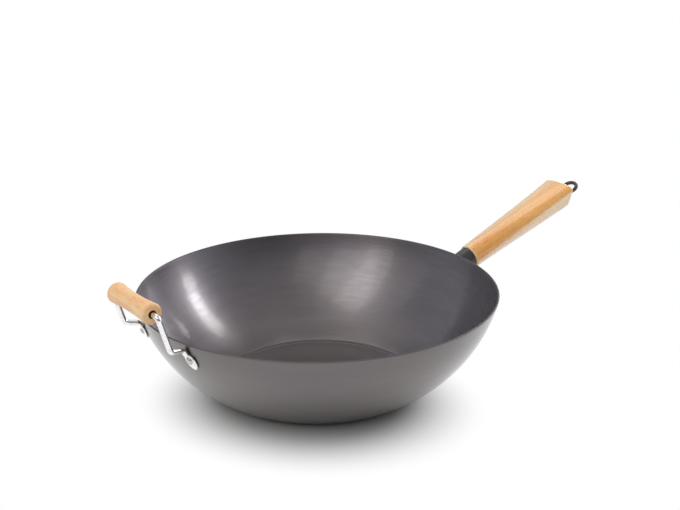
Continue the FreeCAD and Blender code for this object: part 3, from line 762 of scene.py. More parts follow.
@dataclass(frozen=True)
class HandleTones:
    """How the long handle's wood changes over its length and round it.

    A line gives an offset at the ferrule and its rise along the handle. Edges are in metres.
    Painted shade darkens the near side, a painted highlight lightens the far top edge, and
    painted light from the floor turns the flanks below the ridges pale.
    """

    ridge_line: Pair
    # Pale colour of the cut end, also used as painted light on the far top edge and the flanks
    # below the ridges.
    sapwood_and_painted_light: Colour = (1.0, 0.75, 0.47)
    far_highlight_line: Pair = (-0.003, 0.028)
    root_edge: Pair = (0.100, 0.010)
    root_middle: float = 0.60
    root_dark: float = 0.40
    root_strokes: Pair = (0.75, 0.45)
    # Painted shade along the near side, then the painted highlight on the far side and painted
    # light below the ridges.
    near_painted_shade: Fade = (-0.002, -0.014, 0.0, 0.30)
    far_highlight_edge: Pair = (-0.004, 0.007)
    far_highlight_share: float = 0.85
    lit_flank_edge: Pair = (0.0006, -0.0030)
    flank_strokes: float = -0.6
    cut_edge: Pair = (0.0022, 0.0008)

    @staticmethod
    def past(graph: Graph, length: Socket, offset: Socket, line: Pair, edge: Pair) -> Socket:
        """How far a point lies past a straight line along the handle.

        Args:
            graph: The tree to add to.
            length: Local X.
            offset: Local Y or Z.
            line: The line.
            edge: Distances from the line at which the result is 0 and 1.

        Returns:
            The share from 0 to 1.
        """
        start, slope = line
        return graph.spread(graph.minus(offset, graph.times_plus(length, slope, start)), *edge)


@dataclass(frozen=True)
class TurnedWood:
    """Varnished wood with its grain along the local X of its own placement."""

    name: str
    own: Matrix
    pale: Colour
    middle: Colour
    dark: Colour
    tone_scale: Triple
    ring_width: float
    pith: Pair
    bore_radius: float
    flecks: float
    roughness: float
    varnish: float
    tones: HandleTones | None = None
    tone_limits: Pair = (0.36, 0.64)
    warp: Grain = Grain((7.0, 42.0, 42.0), 3.0)
    warp_rings: float = 2.4
    fibres: Grain = Grain((34.0, 800.0, 800.0), 3.0, 0.6)
    pores: Grain = Grain((130.0, 2100.0, 2100.0), 1.0, limits=(0.62, 0.72))
    strokes: Grain = Grain((90.0, 520.0, 520.0), limits=(0.54, 0.68))
    dark_bands: Fade = (-0.9, 1.0, 0.0, 0.20)
    dark_fibres: Fade = (0.42, 0.72, 0.0, 0.26)
    pale_fibres: Fade = (0.55, 0.28, 0.0, 0.30)
    pore_share: float = 0.34
    pore_depth: float = 0.5
    stroke_shade: float = 0.8
    pore_shade: float = 0.6
    # Painted shade round the bore's mouth.
    bore_painted_shade: float = 0.08
    bore_shade_edge: Pair = (0.0015, 0.0009)
    fibre_roughness: float = 0.16
    varnish_roughness: float = 0.18
    relief_share: float = 0.22
    relief_depth: float = 0.00012

    def build(self) -> Material:
        """Make the material.

        Returns:
            The material.
        """
        graph = Graph(self.name)
        place = graph.placed(self.own.translation, self.own.to_euler())
        length, width, height = graph.split(place)
        fibres = graph.noise(place, self.fibres)
        pores = graph.noise(place, self.pores)
        strokes = graph.noise(place, self.strokes)
        tone = graph.noise(place, Grain(self.tone_scale, limits=self.tone_limits))
        wood = graph.blend(tone, self.middle, self.pale)
        if self.tones is not None:
            wood, strokes = self.shaded(graph, wood, strokes, (length, width, height))
        bands = self.year_rings(graph, place, width, height)
        # Painted shade: the wood round the bore's mouth is darkened, where its hollow lies.
        bore = [self.bore_radius + step for step in self.bore_shade_edge]
        for share, colour in (
            (graph.spread(bands, *self.dark_bands), self.dark),
            (graph.spread(fibres, *self.dark_fibres), self.dark),
            (graph.spread(fibres, *self.pale_fibres), self.pale),
            (graph.times(strokes, self.flecks), self.shade(self.stroke_shade)),
            (graph.times(pores, self.pore_share), self.shade(self.pore_shade)),
            (graph.spread(graph.reach(width, height), *bore), self.shade(self.bore_painted_shade)),
        ):
            wood = graph.blend(share, wood, colour)
        relief = graph.minus(fibres, graph.times(pores, self.pore_depth))
        rough = graph.times(fibres, self.fibre_roughness)
        return graph.surface(
            Base_Color=wood,
            Roughness=graph.plus(rough, self.roughness - self.fibre_roughness / 2),
            Coat_Weight=self.varnish,
            Coat_Roughness=self.varnish_roughness,
            Normal=graph.relief(relief, self.relief_share, self.relief_depth),
        )

    def shade(self, amount: float) -> Colour:
        """The dark colour, darkened."""
        return tuple(amount * tint for tint in self.dark)

    def year_rings(self, graph: Graph, place: Socket, width: Socket, height: Socket) -> Socket:
        """Year rings round the pith, bent by a slow warp.

        Args:
            graph: The tree to add to.
            place: Coordinates in the wood's own placement.
            width: Local Y.
            height: Local Z.

        Returns:
            A wave between -1 and 1.
        """
        warp = graph.times(graph.noise(place, self.warp), self.warp_rings * self.ring_width)
        offs = [graph.minus(*pair) for pair in zip((width, height), self.pith)]
        bent = graph.plus(graph.reach(*offs), warp)
        return graph.maths("SINE", graph.times(bent, FULL_TURN / self.ring_width))

    def shaded(
        self, graph: Graph, wood: Socket, strokes: Socket, parts: tuple[Socket, Socket, Socket]
    ) -> tuple[Socket, Socket]:
        """The long handle's tones: darker at the root and near side, paler below its ridges.

        Args:
            graph: The tree to add to.
            wood: The colour so far.
            strokes: Where dark flecks lie.
            parts: Local X, Y and Z.

        Returns:
            The colour and the flecks with those tones.
        """
        tones = self.tones
        length, width, height = parts
        rootward = graph.spread(length, *tones.root_edge)
        far = tones.past(graph, length, width, tones.far_highlight_line, tones.far_highlight_edge)
        below = tones.past(graph, length, height, tones.ridge_line, tones.lit_flank_edge)
        # Darker at the root; painted shade along the near side, a painted highlight on the far top
        # edge, painted light from the floor below the ridges, and a pale cut end.
        for share, colour in (
            (graph.times(rootward, tones.root_middle), self.middle),
            (graph.times(rootward, tones.root_dark), self.dark),
            (graph.spread(width, *tones.near_painted_shade), self.dark),
            (graph.times(far, tones.far_highlight_share), tones.sapwood_and_painted_light),
            (below, tones.sapwood_and_painted_light),
            (graph.spread(length, *tones.cut_edge), tones.sapwood_and_painted_light),
        ):
            wood = graph.blend(share, wood, colour)
        strokes = graph.times(strokes, graph.times_plus(rootward, *tones.root_strokes))
        strokes = graph.times(strokes, graph.times_plus(below, tones.flank_strokes, 1.0))
        return wood, strokes


@dataclass(frozen=True)
class BrightPlate:
    """Bright plated steel with the fine scratches of bent wire."""

    name: str = "bright_plate"
    colour: Colour = (0.93, 0.925, 0.915)
    roughness: float = 0.10
    haze: Grain = Grain(160.0, 3.0)
    haze_limits: Pair = (0.35, 0.75)
    haze_shade: float = 0.82
    haze_roughness: float = 0.10
    scratches: Grain = Grain((500.0, 4200.0, 2600.0))
    scratch_roughness: float = 0.05
    scratch_share: float = 0.06
    scratch_depth: float = 0.00003

    def build(self) -> Material:
        """Make the material.

        Returns:
            The material.
        """
        graph = Graph(self.name)
        place = graph.place()
        haze = graph.noise(place, self.haze)
        scratches = graph.noise(place, self.scratches)
        dim = tuple(self.haze_shade * tint for tint in self.colour)
        amounts = (self.haze_roughness, self.scratch_roughness)
        rough = graph.weighted(*zip((haze, scratches), amounts))
        return graph.surface(
            Base_Color=graph.blend(graph.spread(haze, *self.haze_limits), self.colour, dim),
            Metallic=1.0,
            Roughness=graph.plus(rough, self.roughness - sum(amounts) / 2),
            Normal=graph.relief(scratches, self.scratch_share, self.scratch_depth),
        )


@dataclass(frozen=True)
class PatchedMetal:
    """A metal surface in patches of two colours, with fine relief."""

    name: str
    colour: Colour
    patch: Colour
    metallic: float
    roughness: float
    patches: Grain
    patch_limits: Pair
    relief: Grain
    relief_share: float
    relief_depth: float
    rough_patches: float = 0.0
    rough_relief: float = 0.0

    def build(self) -> Material:
        """Make the material.

        Returns:
            The material.
        """
        graph = Graph(self.name)
        place = graph.place()
        relief = graph.noise(place, self.relief)
        patches = graph.noise(place, self.patches)
        shares = graph.spread(patches, *self.patch_limits)
        amounts = (self.rough_patches, self.rough_relief)
        rough = graph.weighted(*zip((patches, relief), amounts))
        return graph.surface(
            Base_Color=graph.blend(shares, self.colour, self.patch),
            Metallic=self.metallic,
            Roughness=graph.plus(rough, self.roughness - sum(amounts) / 2),
            Normal=graph.relief(relief, self.relief_share, self.relief_depth),
        )


SATIN_BLACK = PatchedMetal(
    name="satin_black",
    colour=(0.042, 0.038, 0.039),
    patch=(0.078, 0.071, 0.070),
    metallic=0.0,
    roughness=0.36,
    patches=Grain(130.0, 4.0, 0.6),
    patch_limits=(0.52, 0.78),
    relief=Grain(2400.0),
    relief_share=0.20,
    relief_depth=0.00003,
    rough_patches=0.18,
)
TURNED_STEEL = PatchedMetal(
    name="turned_steel",
    colour=(0.42, 0.42, 0.43),
    patch=(0.30, 0.28, 0.26),
    metallic=1.0,
    roughness=0.32,
    patches=Grain(210.0, 3.0),
    patch_limits=(0.45, 0.75),
    relief=Grain((2600.0, 160.0, 160.0)),
    relief_share=0.2,
    relief_depth=0.00004,
    rough_relief=0.2,
)
RIVET_PLATE = BrightPlate("rivet_plate", (0.60, 0.595, 0.585), 0.13)


@dataclass(frozen=True)
class PaleFloor:
    """A white studio floor that keeps the shadow and turns plain white far from the object."""

    name: str = "pale_floor"
    colour: Colour = (0.70, 0.70, 0.70)
    near: float = 0.070
    far: float = 0.149
    shadow_azimuth: float = -135.5
    shadow_offset: float = 0.046
    shadow_turn: float = -151.0
    shadow_squeeze: float = 0.86

    def build(self) -> Material:
        """Make the material.

        Returns:
            The material.
        """
        graph = Graph(self.name)
        centre = towards(self.shadow_azimuth, 0.0) * self.shadow_offset
        turn = Euler((0.0, 0.0, math.radians(self.shadow_turn)))
        turned = graph.placed(centre, turn)
        along, across, _ = graph.split(turned)
        reach = graph.reach(along, graph.times(across, self.shadow_squeeze))
        path = graph.add("ShaderNodeLightPath").outputs
        seen = graph.maths("MAXIMUM", path["Is Camera Ray"], path["Is Glossy Ray"])
        seen = graph.maths("MAXIMUM", seen, path["Is Transmission Ray"])
        lit = graph.add("ShaderNodeBsdfDiffuse", Color=(*self.colour, 1.0)).outputs[0]
        white = graph.add("ShaderNodeEmission", Strength=1.0).outputs[0]
        share = graph.times(graph.spread(reach, self.near, self.far), seen)
        both = graph.add("ShaderNodeMixShader", Fac=share)
        for socket, shader in zip(both.inputs[1:], (lit, white)):
            graph.feed(socket, shader)
        graph.show(both)
        return graph.material


@dataclass(frozen=True)
class MetalFinishes:
    """The finishes that several assemblies share, made once."""

    steel: Material
    black: Material = field(default_factory=SATIN_BLACK.build)
    plate: Material = field(default_factory=BrightPlate().build)
    rivet: Material = field(default_factory=RIVET_PLATE.build)
    plain: Material = field(default_factory=TURNED_STEEL.build)


def finish_piece(piece: Piece, material: Material, body: Body, node: str) -> None:
    """Dress a piece, ride it on its body and let it stand for its solid.

    Args:
        piece: The piece, already in place.
        material: Its finish.
        body: The body that it moves with.
        node: The solid that it stands for.
    """
    piece.data.materials.clear()
    piece.data.materials.append(material)
    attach(piece, body.value)
    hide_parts(node)
    LOG.info("%s: %d faces on body %s", piece.name, len(piece.data.polygons), body.value)


# Pieces


@dataclass
class Bowl:
    """The spun bowl: a flat base, a corner and one wall arc up to a plain rim."""

    rim_radius: float = 0.175
    height: float = 0.0965
    base_radius: float = 0.0967
    corner_radius: float = 0.005
    wall_arc_radius: float = 0.151
    thickness: float = 0.0016
    rim_round: float = 0.0005
    base_ring_radius: float = 0.0915
    base_ring_reach: float = 0.0012
    base_ring_height: float = 0.00014
    steps: int = 288
    base_steps: int = 14
    base_ring_steps: int = 4
    base_edge_steps: int = 2
    corner_steps: int = 14
    wall_steps: int = 60
    rim_steps: int = 5

    def wall_centre(self) -> Pair:
        """Centre of the wall's arc.

        Returns:
            Its radius and its height.
        """
        corner = Vector((self.base_radius, self.corner_radius))
        chord = Vector((self.rim_radius, self.height)) - corner
        near = self.wall_arc_radius - self.corner_radius
        along = (near**2 - self.wall_arc_radius**2 + chord.length_squared) / (2 * chord.length)
        across = math.sqrt(near**2 - along**2)
        direction = chord.normalized()
        centre = corner + direction * along + Vector((-direction.y, direction.x)) * across
        return centre.x, centre.y

    def wall_at(self, height: float) -> Triple:
        """The wall's outside at a height.

        Args:
            height: Height above the base.

        Returns:
            Its radius, and its outward normal as radius and height.
        """
        centre_radius, centre_height = self.wall_centre()
        rise = height - centre_height
        reach = math.sqrt(self.wall_arc_radius**2 - rise**2)
        return centre_radius + reach, reach / self.wall_arc_radius, rise / self.wall_arc_radius

    def outside_by(self, point: Vector) -> float:
        """How far a point lies outside the wall.

        Args:
            point: The point.

        Returns:
            The distance, negative inside the wall.
        """
        centre_radius, centre_height = self.wall_centre()
        reach = math.hypot(point.x, point.y) - centre_radius
        return math.hypot(reach, point.z - centre_height) - self.wall_arc_radius

    def base(self, depth: float) -> Profile:
        """The flat of the base, with a low bead round it on the inside.

        Args:
            depth: How far the face lies inside the outer one.

        Returns:
            Its points, from the centre to the corner.
        """
        end = (self.base_radius, depth)
        if depth == 0:
            return line_points((0.0, depth), end, self.base_steps)
        ring, reach, steps = self.base_ring_radius, self.base_ring_reach, self.base_ring_steps
        points = line_points((0.0, depth), (ring - reach, depth), self.base_steps)
        for step in range(1 - steps, steps):
            lift = self.base_ring_height * (1 + math.cos(math.pi * step / steps)) / 2
            points.append((ring + reach * step / steps, depth + lift))
        return points + line_points((ring + reach, depth), end, self.base_edge_steps)

    def face(self, depth: float, top: float) -> Profile:
        """The profile of one face, from the centre of the base to the rim.

        Args:
            depth: How far the face lies inside the outer one.
            top: Height where it ends.

        Returns:
            Its points.
        """
        centre = self.wall_centre()
        corner = (self.base_radius, self.corner_radius)
        turn = math.atan2(corner[1] - centre[1], corner[0] - centre[0])
        bend_radius = self.corner_radius - depth
        bend = arc_points(corner, bend_radius, -QUARTER_TURN, turn, self.corner_steps)
        arc = self.wall_arc_radius - depth
        rim_turn = math.asin((top - centre[1]) / arc)
        wall = arc_points(centre, arc, turn, rim_turn, self.wall_steps)
        return self.base(depth) + bend[1:] + wall[1:]

    def rim_edge(self, reach: float, turn: float) -> Profile:
        """One rounded edge of the rim, from where it leaves its face to the flat top.

        Args:
            reach: Distance of the rounding's centre from the wall's centre.
            turn: Added to the wall's own angle, zero outside and half a turn inside.

        Returns:
            Its points.
        """
        centre_radius, centre_height = self.wall_centre()
        level = self.height - self.rim_round
        slope = math.asin((level - centre_height) / reach)
        centre = (centre_radius + reach * math.cos(slope), level)
        return arc_points(centre, self.rim_round, slope + turn, QUARTER_TURN, self.rim_steps)

    def profile(self) -> Profile:
        """The whole section.

        Returns:
            Its points, from the middle of the base outside to the middle inside.
        """
        outer_edge = self.rim_edge(self.wall_arc_radius - self.rim_round, 0.0)
        inner_edge = self.rim_edge(self.wall_arc_radius - self.thickness + self.rim_round, math.pi)
        outer = self.face(0.0, outer_edge[0][1])
        inner = self.face(self.thickness, inner_edge[0][1])
        return outer[:-1] + outer_edge + inner_edge[::-1] + inner[-2::-1]

    def build(self, finishes: MetalFinishes) -> None:
        """Make the bowl and dress it."""
        piece = lathe("wok_bowl_spun", self.profile(), self.steps)
        finish_piece(piece, finishes.steel, Body.WOK, "wok_bowl")


@dataclass
class HandleAxis:
    """The tilted axis that the ferrule, the long handle and the eye lie along."""

    bowl: Bowl
    root_drop: float = 0.0185
    tilt: float = 18.4
    ferrule_length: float = 0.030

    def matrix(self, distance: float = 0.0) -> Matrix:
        """Placement on the axis, local X out along the handle and local Z its top side.

        Args:
            distance: How far beyond the ferrule's mouth.

        Returns:
            The placement.
        """
        height = self.bowl.height - self.root_drop
        radius, _, _ = self.bowl.wall_at(height)
        tilt = math.radians(self.tilt)
        out = Vector((math.cos(tilt), 0.0, math.sin(tilt)))
        mouth = Vector((radius, 0.0, height)) + out * (self.ferrule_length + distance)
        return axes_matrix(mouth, out, Vector((0.0, 1.0, 0.0)))


@dataclass
class Ferrule:
    """The tapered sleeve that is welded to the wall, its weld bead and the plug inside it."""

    axis: HandleAxis
    mouth_radius: float = 0.0115
    taper: float = 3.0
    wall: float = 0.0018
    lip: float = 0.0005
    lip_angles: tuple[float, ...] = (0.0, 22.5, 45.0, 67.5)
    bead_radius: float = 0.00145
    bead_offset: float = 0.0008
    bead_ripples: int = 34
    ripple: float = 0.07
    bead_crease: float = 60.0
    bead_steps: int = 16
    steps: int = 120
    rows: int = 8
    halvings: int = 40

    def meets_wall(self, turn: float, shrink: float) -> Vector:
        """Where a straight line of the sleeve meets the bowl, in the axis's own frame.

        Args:
            turn: Angle round the axis.
            shrink: How far inside the sleeve's outer face.

        Returns:
            The point.
        """
        matrix = self.axis.matrix()
        near, far = 0.0, 2 * self.axis.ferrule_length
        for _ in range(self.halvings):
            middle = (near + far) / 2
            if self.axis.bowl.outside_by(matrix @ self.on_sleeve(turn, middle, shrink)) > 0:
                near = middle
            else:
                far = middle
        return self.on_sleeve(turn, near, shrink)

    def on_sleeve(self, turn: float, depth: float, shrink: float) -> Vector:
        """A point of the sleeve at a depth behind its mouth, in the axis's own frame."""
        radius = self.mouth_radius - shrink - depth * math.tan(math.radians(self.taper))
        return Vector((-depth, radius * math.cos(turn), radius * math.sin(turn)))

    def sleeve_ring(self, depth: float, shrink: float) -> Ring:
        """A ring of the sleeve at a depth behind its mouth, drawn in from its outer face."""
        return [self.on_sleeve(turn, depth, shrink) for turn in full_turn(self.steps)]

    def sleeve_rings(self) -> list[Ring]:
        """The sleeve: its rolled lip, its outside, the coped foot and its bore.

        Returns:
            Its rings, in the axis's own frame.
        """
        turns = full_turn(self.steps)
        outer_foot, inner_foot = (
            [self.meets_wall(turn, shrink) for turn in turns] for shrink in (0.0, self.wall)
        )
        rings = [self.sleeve_ring(*rounding(self.lip, angle)) for angle in self.lip_angles]
        mouth = self.sleeve_ring(self.lip, 0.0)
        for share in equal_shares(self.rows):
            rings.append([near.lerp(far, share) for near, far in zip(mouth, outer_foot)])
        rings.append(inner_foot)
        rings.append(self.sleeve_ring(self.lip, self.wall))
        rings.append(self.sleeve_ring(0.0, self.wall - self.lip))
        return rings

    def bead_rings(self) -> list[Ring]:
        """The rippled weld bead in the corner between the sleeve and the wall.

        Returns:
            Its rings.
        """
        matrix = self.axis.matrix()
        centre_radius, centre_height = self.axis.bowl.wall_centre()
        rings = []
        for turn in full_turn(self.steps):
            corner = matrix @ self.meets_wall(turn, 0.0)
            flat = Vector((corner.x, corner.y, 0.0)).normalized()
            normal = corner - flat * centre_radius - Vector((0.0, 0.0, centre_height))
            normal.normalize()
            outward = matrix.to_3x3() @ Vector((0.0, math.cos(turn), math.sin(turn)))
            outward.normalize()
            side = (outward - normal * outward.dot(normal)).normalized()
            radius = self.bead_radius * (1 + self.ripple * math.sin(self.bead_ripples * turn))
            centre = corner + normal * self.bead_offset + side * self.bead_offset
            rings.append(round_ring(centre, normal, side, radius, self.bead_steps))
        return rings

    def build(self, finishes: MetalFinishes) -> None:
        """Make the sleeve and its weld, and dress them and the plug.

        Args:
            finishes: The shared metal finishes.
        """
        sleeve = skin("ferrule_sleeve", self.sleeve_rings(), loop=True)
        sleeve.matrix_world = self.axis.matrix()
        finish_piece(sleeve, finishes.black, Body.WOK, "handle_ferrule")
        bead = skin("ferrule_weld_bead", self.bead_rings(), loop=True, crease=self.bead_crease)
        finish_piece(bead, finishes.black, Body.WOK, "ferrule_weld")
        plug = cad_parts["ferrule_plug"]
        plug.data.materials.clear()
        plug.data.materials.append(finishes.plain)
        LOG.info("ferrule_plug: kept as packed")


@dataclass
class LongHandle:
    """The wooden handle: round at the ferrule, flat-topped between two soft ridges at its end."""

    axis: HandleAxis
    length: float = 0.144
    root_radius: float = 0.0129
    root_round: float = 0.0010
    root_angles: tuple[float, ...] = (0.0, 30.0, 60.0)
    shoulder_turn: float = 52.0
    ridge_turn: float = 6.0
    heel_turn: float = 60.0
    end_half_width: float = 0.0208
    ridge_height: float = 0.0112
    shoulder_half_width: float = 0.0135
    shoulder_height: float = 0.01542
    crown_height: float = 0.01622
    heel_half_width: float = 0.0120
    heel_depth: float = 0.0085
    keel_depth: float = 0.0138
    end_round: float = 0.0022
    lower_end_round: Pair = (0.0062, 0.0038)
    end_angles: tuple[float, ...] = (15.0, 30.0, 45.0, 60.0, 75.0, 90.0)
    face_shares: tuple[float, ...] = (0.25, 0.5, 0.75)
    ridge_softening: float = 0.0013
    heel_softening: float = 0.0014
    tenon_length: float = 0.009
    tenon_radius: float = 0.00913
    bore_radius: float = 0.0028
    edge_counts: tuple[int, ...] = (2, 1, 2, 2, 2, 1)
    ridge_edges: tuple[int, int] = (2, 5)
    heel_edges: tuple[int, int] = (3, 4)
    edge_steps: int = 14
    rows: int = 80

    def end_edges(self) -> list[Profile]:
        """The edges of the end section.

        Returns:
            The points of each edge, counter-clockwise from the right shoulder.
        """
        crown_fall = self.crown_height - self.shoulder_height
        crown_radius = arc_radius(self.shoulder_half_width, crown_fall)
        keel_radius = arc_radius(self.heel_half_width, self.keel_depth - self.heel_depth)
        crown_centre = Vector((0.0, self.crown_height - crown_radius))
        shoulder = Vector((self.shoulder_half_width, self.shoulder_height))
        ridge = Vector((self.end_half_width, self.ridge_height))
        outward = (shoulder - crown_centre).normalized()
        fall = shoulder - ridge
        roll = fall.length_squared / (2 * fall.dot(outward))
        centre = shoulder - outward * roll
        start = math.atan2(ridge.y - centre.y, ridge.x - centre.x)
        end = math.atan2(outward.y, outward.x)
        heel = (self.heel_half_width, -self.heel_depth)
        keel_centre = (0.0, keel_radius - self.keel_depth)
        keel_end = math.atan2(heel[1] - keel_centre[1], heel[0])
        keel_turns = (math.pi - keel_end, FULL_TURN + keel_end)
        steps = self.edge_steps
        crown = arc_points(tuple(crown_centre), crown_radius, end, math.pi - end, 2 * steps)
        right_shoulder = arc_points(tuple(centre), roll, start, end, steps)
        left_shoulder = mirrored(right_shoulder, (-1, 1))
        right_flank = line_points(heel, tuple(ridge), 2 * steps)
        left_flank = mirrored(right_flank, (-1, 1))
        keel = arc_points(keel_centre, keel_radius, *keel_turns, 2 * steps)
        return [crown, left_shoulder, left_flank, keel, right_flank, right_shoulder]

    def root_edges(self) -> list[Profile]:
        """The round section at the ferrule, cut into the same edges as the end section.

        Returns:
            The points of each edge.
        """
        marks = (self.shoulder_turn, self.ridge_turn, self.heel_turn)
        shoulder, ridge, heel = (math.radians(mark) for mark in marks)
        turns = [shoulder, math.pi - shoulder, math.pi + ridge, math.pi + heel]
        turns += [FULL_TURN - heel, FULL_TURN - ridge, FULL_TURN + shoulder]
        edges = []
        for start, end, count in zip(turns, turns[1:], self.edge_counts):
            steps = count * self.edge_steps
            edges.append(arc_points((0.0, 0.0), self.root_radius, start, end, steps))
        return edges

    def softened(self, outline: Profile, corner: int, reach: float) -> None:
        """Round a corner of a closed outline, in place.

        Args:
            outline: The outline's points.
            corner: Index of the corner.
            reach: How far from the corner the rounding starts.
        """
        count = len(outline)
        tip = Vector(outline[corner])
        inside = [0]
        while (Vector(outline[(corner + inside[-1] + 1) % count]) - tip).length < reach:
            inside.append(inside[-1] + 1)
        while (Vector(outline[(corner + inside[0] - 1) % count]) - tip).length < reach:
            inside.insert(0, inside[0] - 1)
        first = Vector(outline[(corner + inside[0] - 1) % count])
        last = Vector(outline[(corner + inside[-1] + 1) % count])
        for order, index in enumerate(inside, start=1):
            share = order / (len(inside) + 1)
            point = first.lerp(tip, share).lerp(tip.lerp(last, share), share)
            outline[(corner + index) % count] = tuple(point)

    def outlines(self) -> tuple[Profile, Profile]:
        """Closed outlines of the root and the end.

        Returns:
            The two outlines, matched point for point.
        """
        root = [point for edge in self.root_edges() for point in edge[:-1]]
        edges = self.end_edges()
        end = [point for edge in edges for point in edge[:-1]]
        starts = [sum(len(edge) - 1 for edge in edges[:index]) for index in range(len(edges))]
        for index in self.ridge_edges:
            self.softened(end, starts[index], self.ridge_softening)
        for index in self.heel_edges:
            self.softened(end, starts[index], self.heel_softening)
        return root, end

    def section(self, distance: float, inset: float) -> Ring:
        """The section at a distance from the ferrule, drawn in from its full size.

        Args:
            distance: Distance along the axis.
            inset: How far it is drawn in.

        Returns:
            Its points in the axis's own frame.
        """
        return [self.on_side(near, far, distance, inset) for near, far in zip(*self.outlines())]

    def on_side(self, near: Pair, far: Pair, distance: float, inset: float) -> Vector:
        """A point of the side, between matched points of the root and the end.

        Args:
            near: Its point on the root's outline.
            far: Its point on the end's outline.
            distance: Distance along the axis.
            inset: How far it is drawn in.

        Returns:
            The point in the axis's own frame.
        """
        share = min(max(distance / (self.length - self.end_round), 0.0), 1.0)
        flat = Vector(near).lerp(Vector(far), share)
        flat *= 1 - inset / flat.length
        return Vector((distance, flat.x, flat.y))

    def end_rounding(self, far: Pair) -> Pair:
        """How far the end's rounding runs along and across.

        Args:
            far: A point of the end's outline.

        Returns:
            The two lengths there.
        """
        fall = (self.ridge_height - far[1]) / (self.ridge_height + self.heel_depth)
        share = min(max(fall, 0.0), 1.0)
        least = self.end_round
        return tuple(least + (most - least) * share for most in self.lower_end_round)

    def side_rings(self) -> list[Ring]:
        """The long side and the rounding at its end.

        Returns:
            Their rings, in the axis's own frame.
        """
        pairs = list(zip(*self.outlines()))
        roundings = [self.end_rounding(far) for _, far in pairs]
        rings = []
        for share in equal_shares(self.rows):
            ring = []
            for (near, far), (along, _) in zip(pairs, roundings):
                distance = self.root_round + (self.length - along - self.root_round) * share
                ring.append(self.on_side(near, far, distance, 0.0))
            rings.append(ring)
        for angle in self.end_angles:
            ring = []
            for (near, far), (along, across) in zip(pairs, roundings):
                distance = self.length - rounding(along, angle)[1]
                ring.append(self.on_side(near, far, distance, rounding(across, angle)[0]))
            rings.append(ring)
        return rings

    def ring(self, distance: float, radius: float) -> Ring:
        """A round ring with as many points as a section, matched to it by angle.

        Args:
            distance: Distance along the axis.
            radius: Its radius.

        Returns:
            Its points in the axis's own frame.
        """
        points = []
        for point in self.section(distance, 0.0):
            flat = Vector((point.y, point.z)).normalized() * radius
            points.append(Vector((distance, flat.x, flat.y)))
        return points

    def rings(self) -> list[Ring]:
        """The whole handle, from the bore at the tenon over the outside to the bore at the end.

        Returns:
            Its rings, in the axis's own frame.
        """
        tail = -self.tenon_length
        rings = [self.ring(tail, self.bore_radius), self.ring(tail, self.tenon_radius)]
        rings.append(self.ring(0.0, self.tenon_radius))
        rings += [self.section(*rounding(self.root_round, angle)) for angle in self.root_angles]
        rings += self.side_rings()
        face = rings[-1]
        hole = self.ring(self.length, self.bore_radius)
        for share in self.face_shares:
            rings.append([near.lerp(far, share) for near, far in zip(face, hole)])
        return rings + [hole]

    def ridge_line(self) -> Pair:
        """Height of the ridges at the ferrule, and their rise along the handle."""
        start = -self.root_radius * math.sin(math.radians(self.ridge_turn))
        return start, (self.ridge_height - start) / (self.length - self.end_round)

    def build(self) -> None:
        """Make the handle and dress it."""
        own = self.axis.matrix()
        piece = skin("long_handle_wood", self.rings(), loop=True, crease=SOFT_CREASE)
        piece.data.transform(own)
        wood = TurnedWood(
            name="handle_hardwood",
            own=own,
            pale=(1.0, 0.56, 0.165),
            middle=(1.0, 0.49, 0.13),
            dark=(0.85, 0.345, 0.075),
            tone_scale=(11.0, 60.0, 60.0),
            ring_width=0.0062,
            pith=(0.009, -0.034),
            bore_radius=self.bore_radius,
            flecks=0.48,
            roughness=0.38,
            varnish=1.0,
            tones=HandleTones(self.ridge_line()),
        )
        finish_piece(piece, wood.build(), Body.WOK, "long_handle")


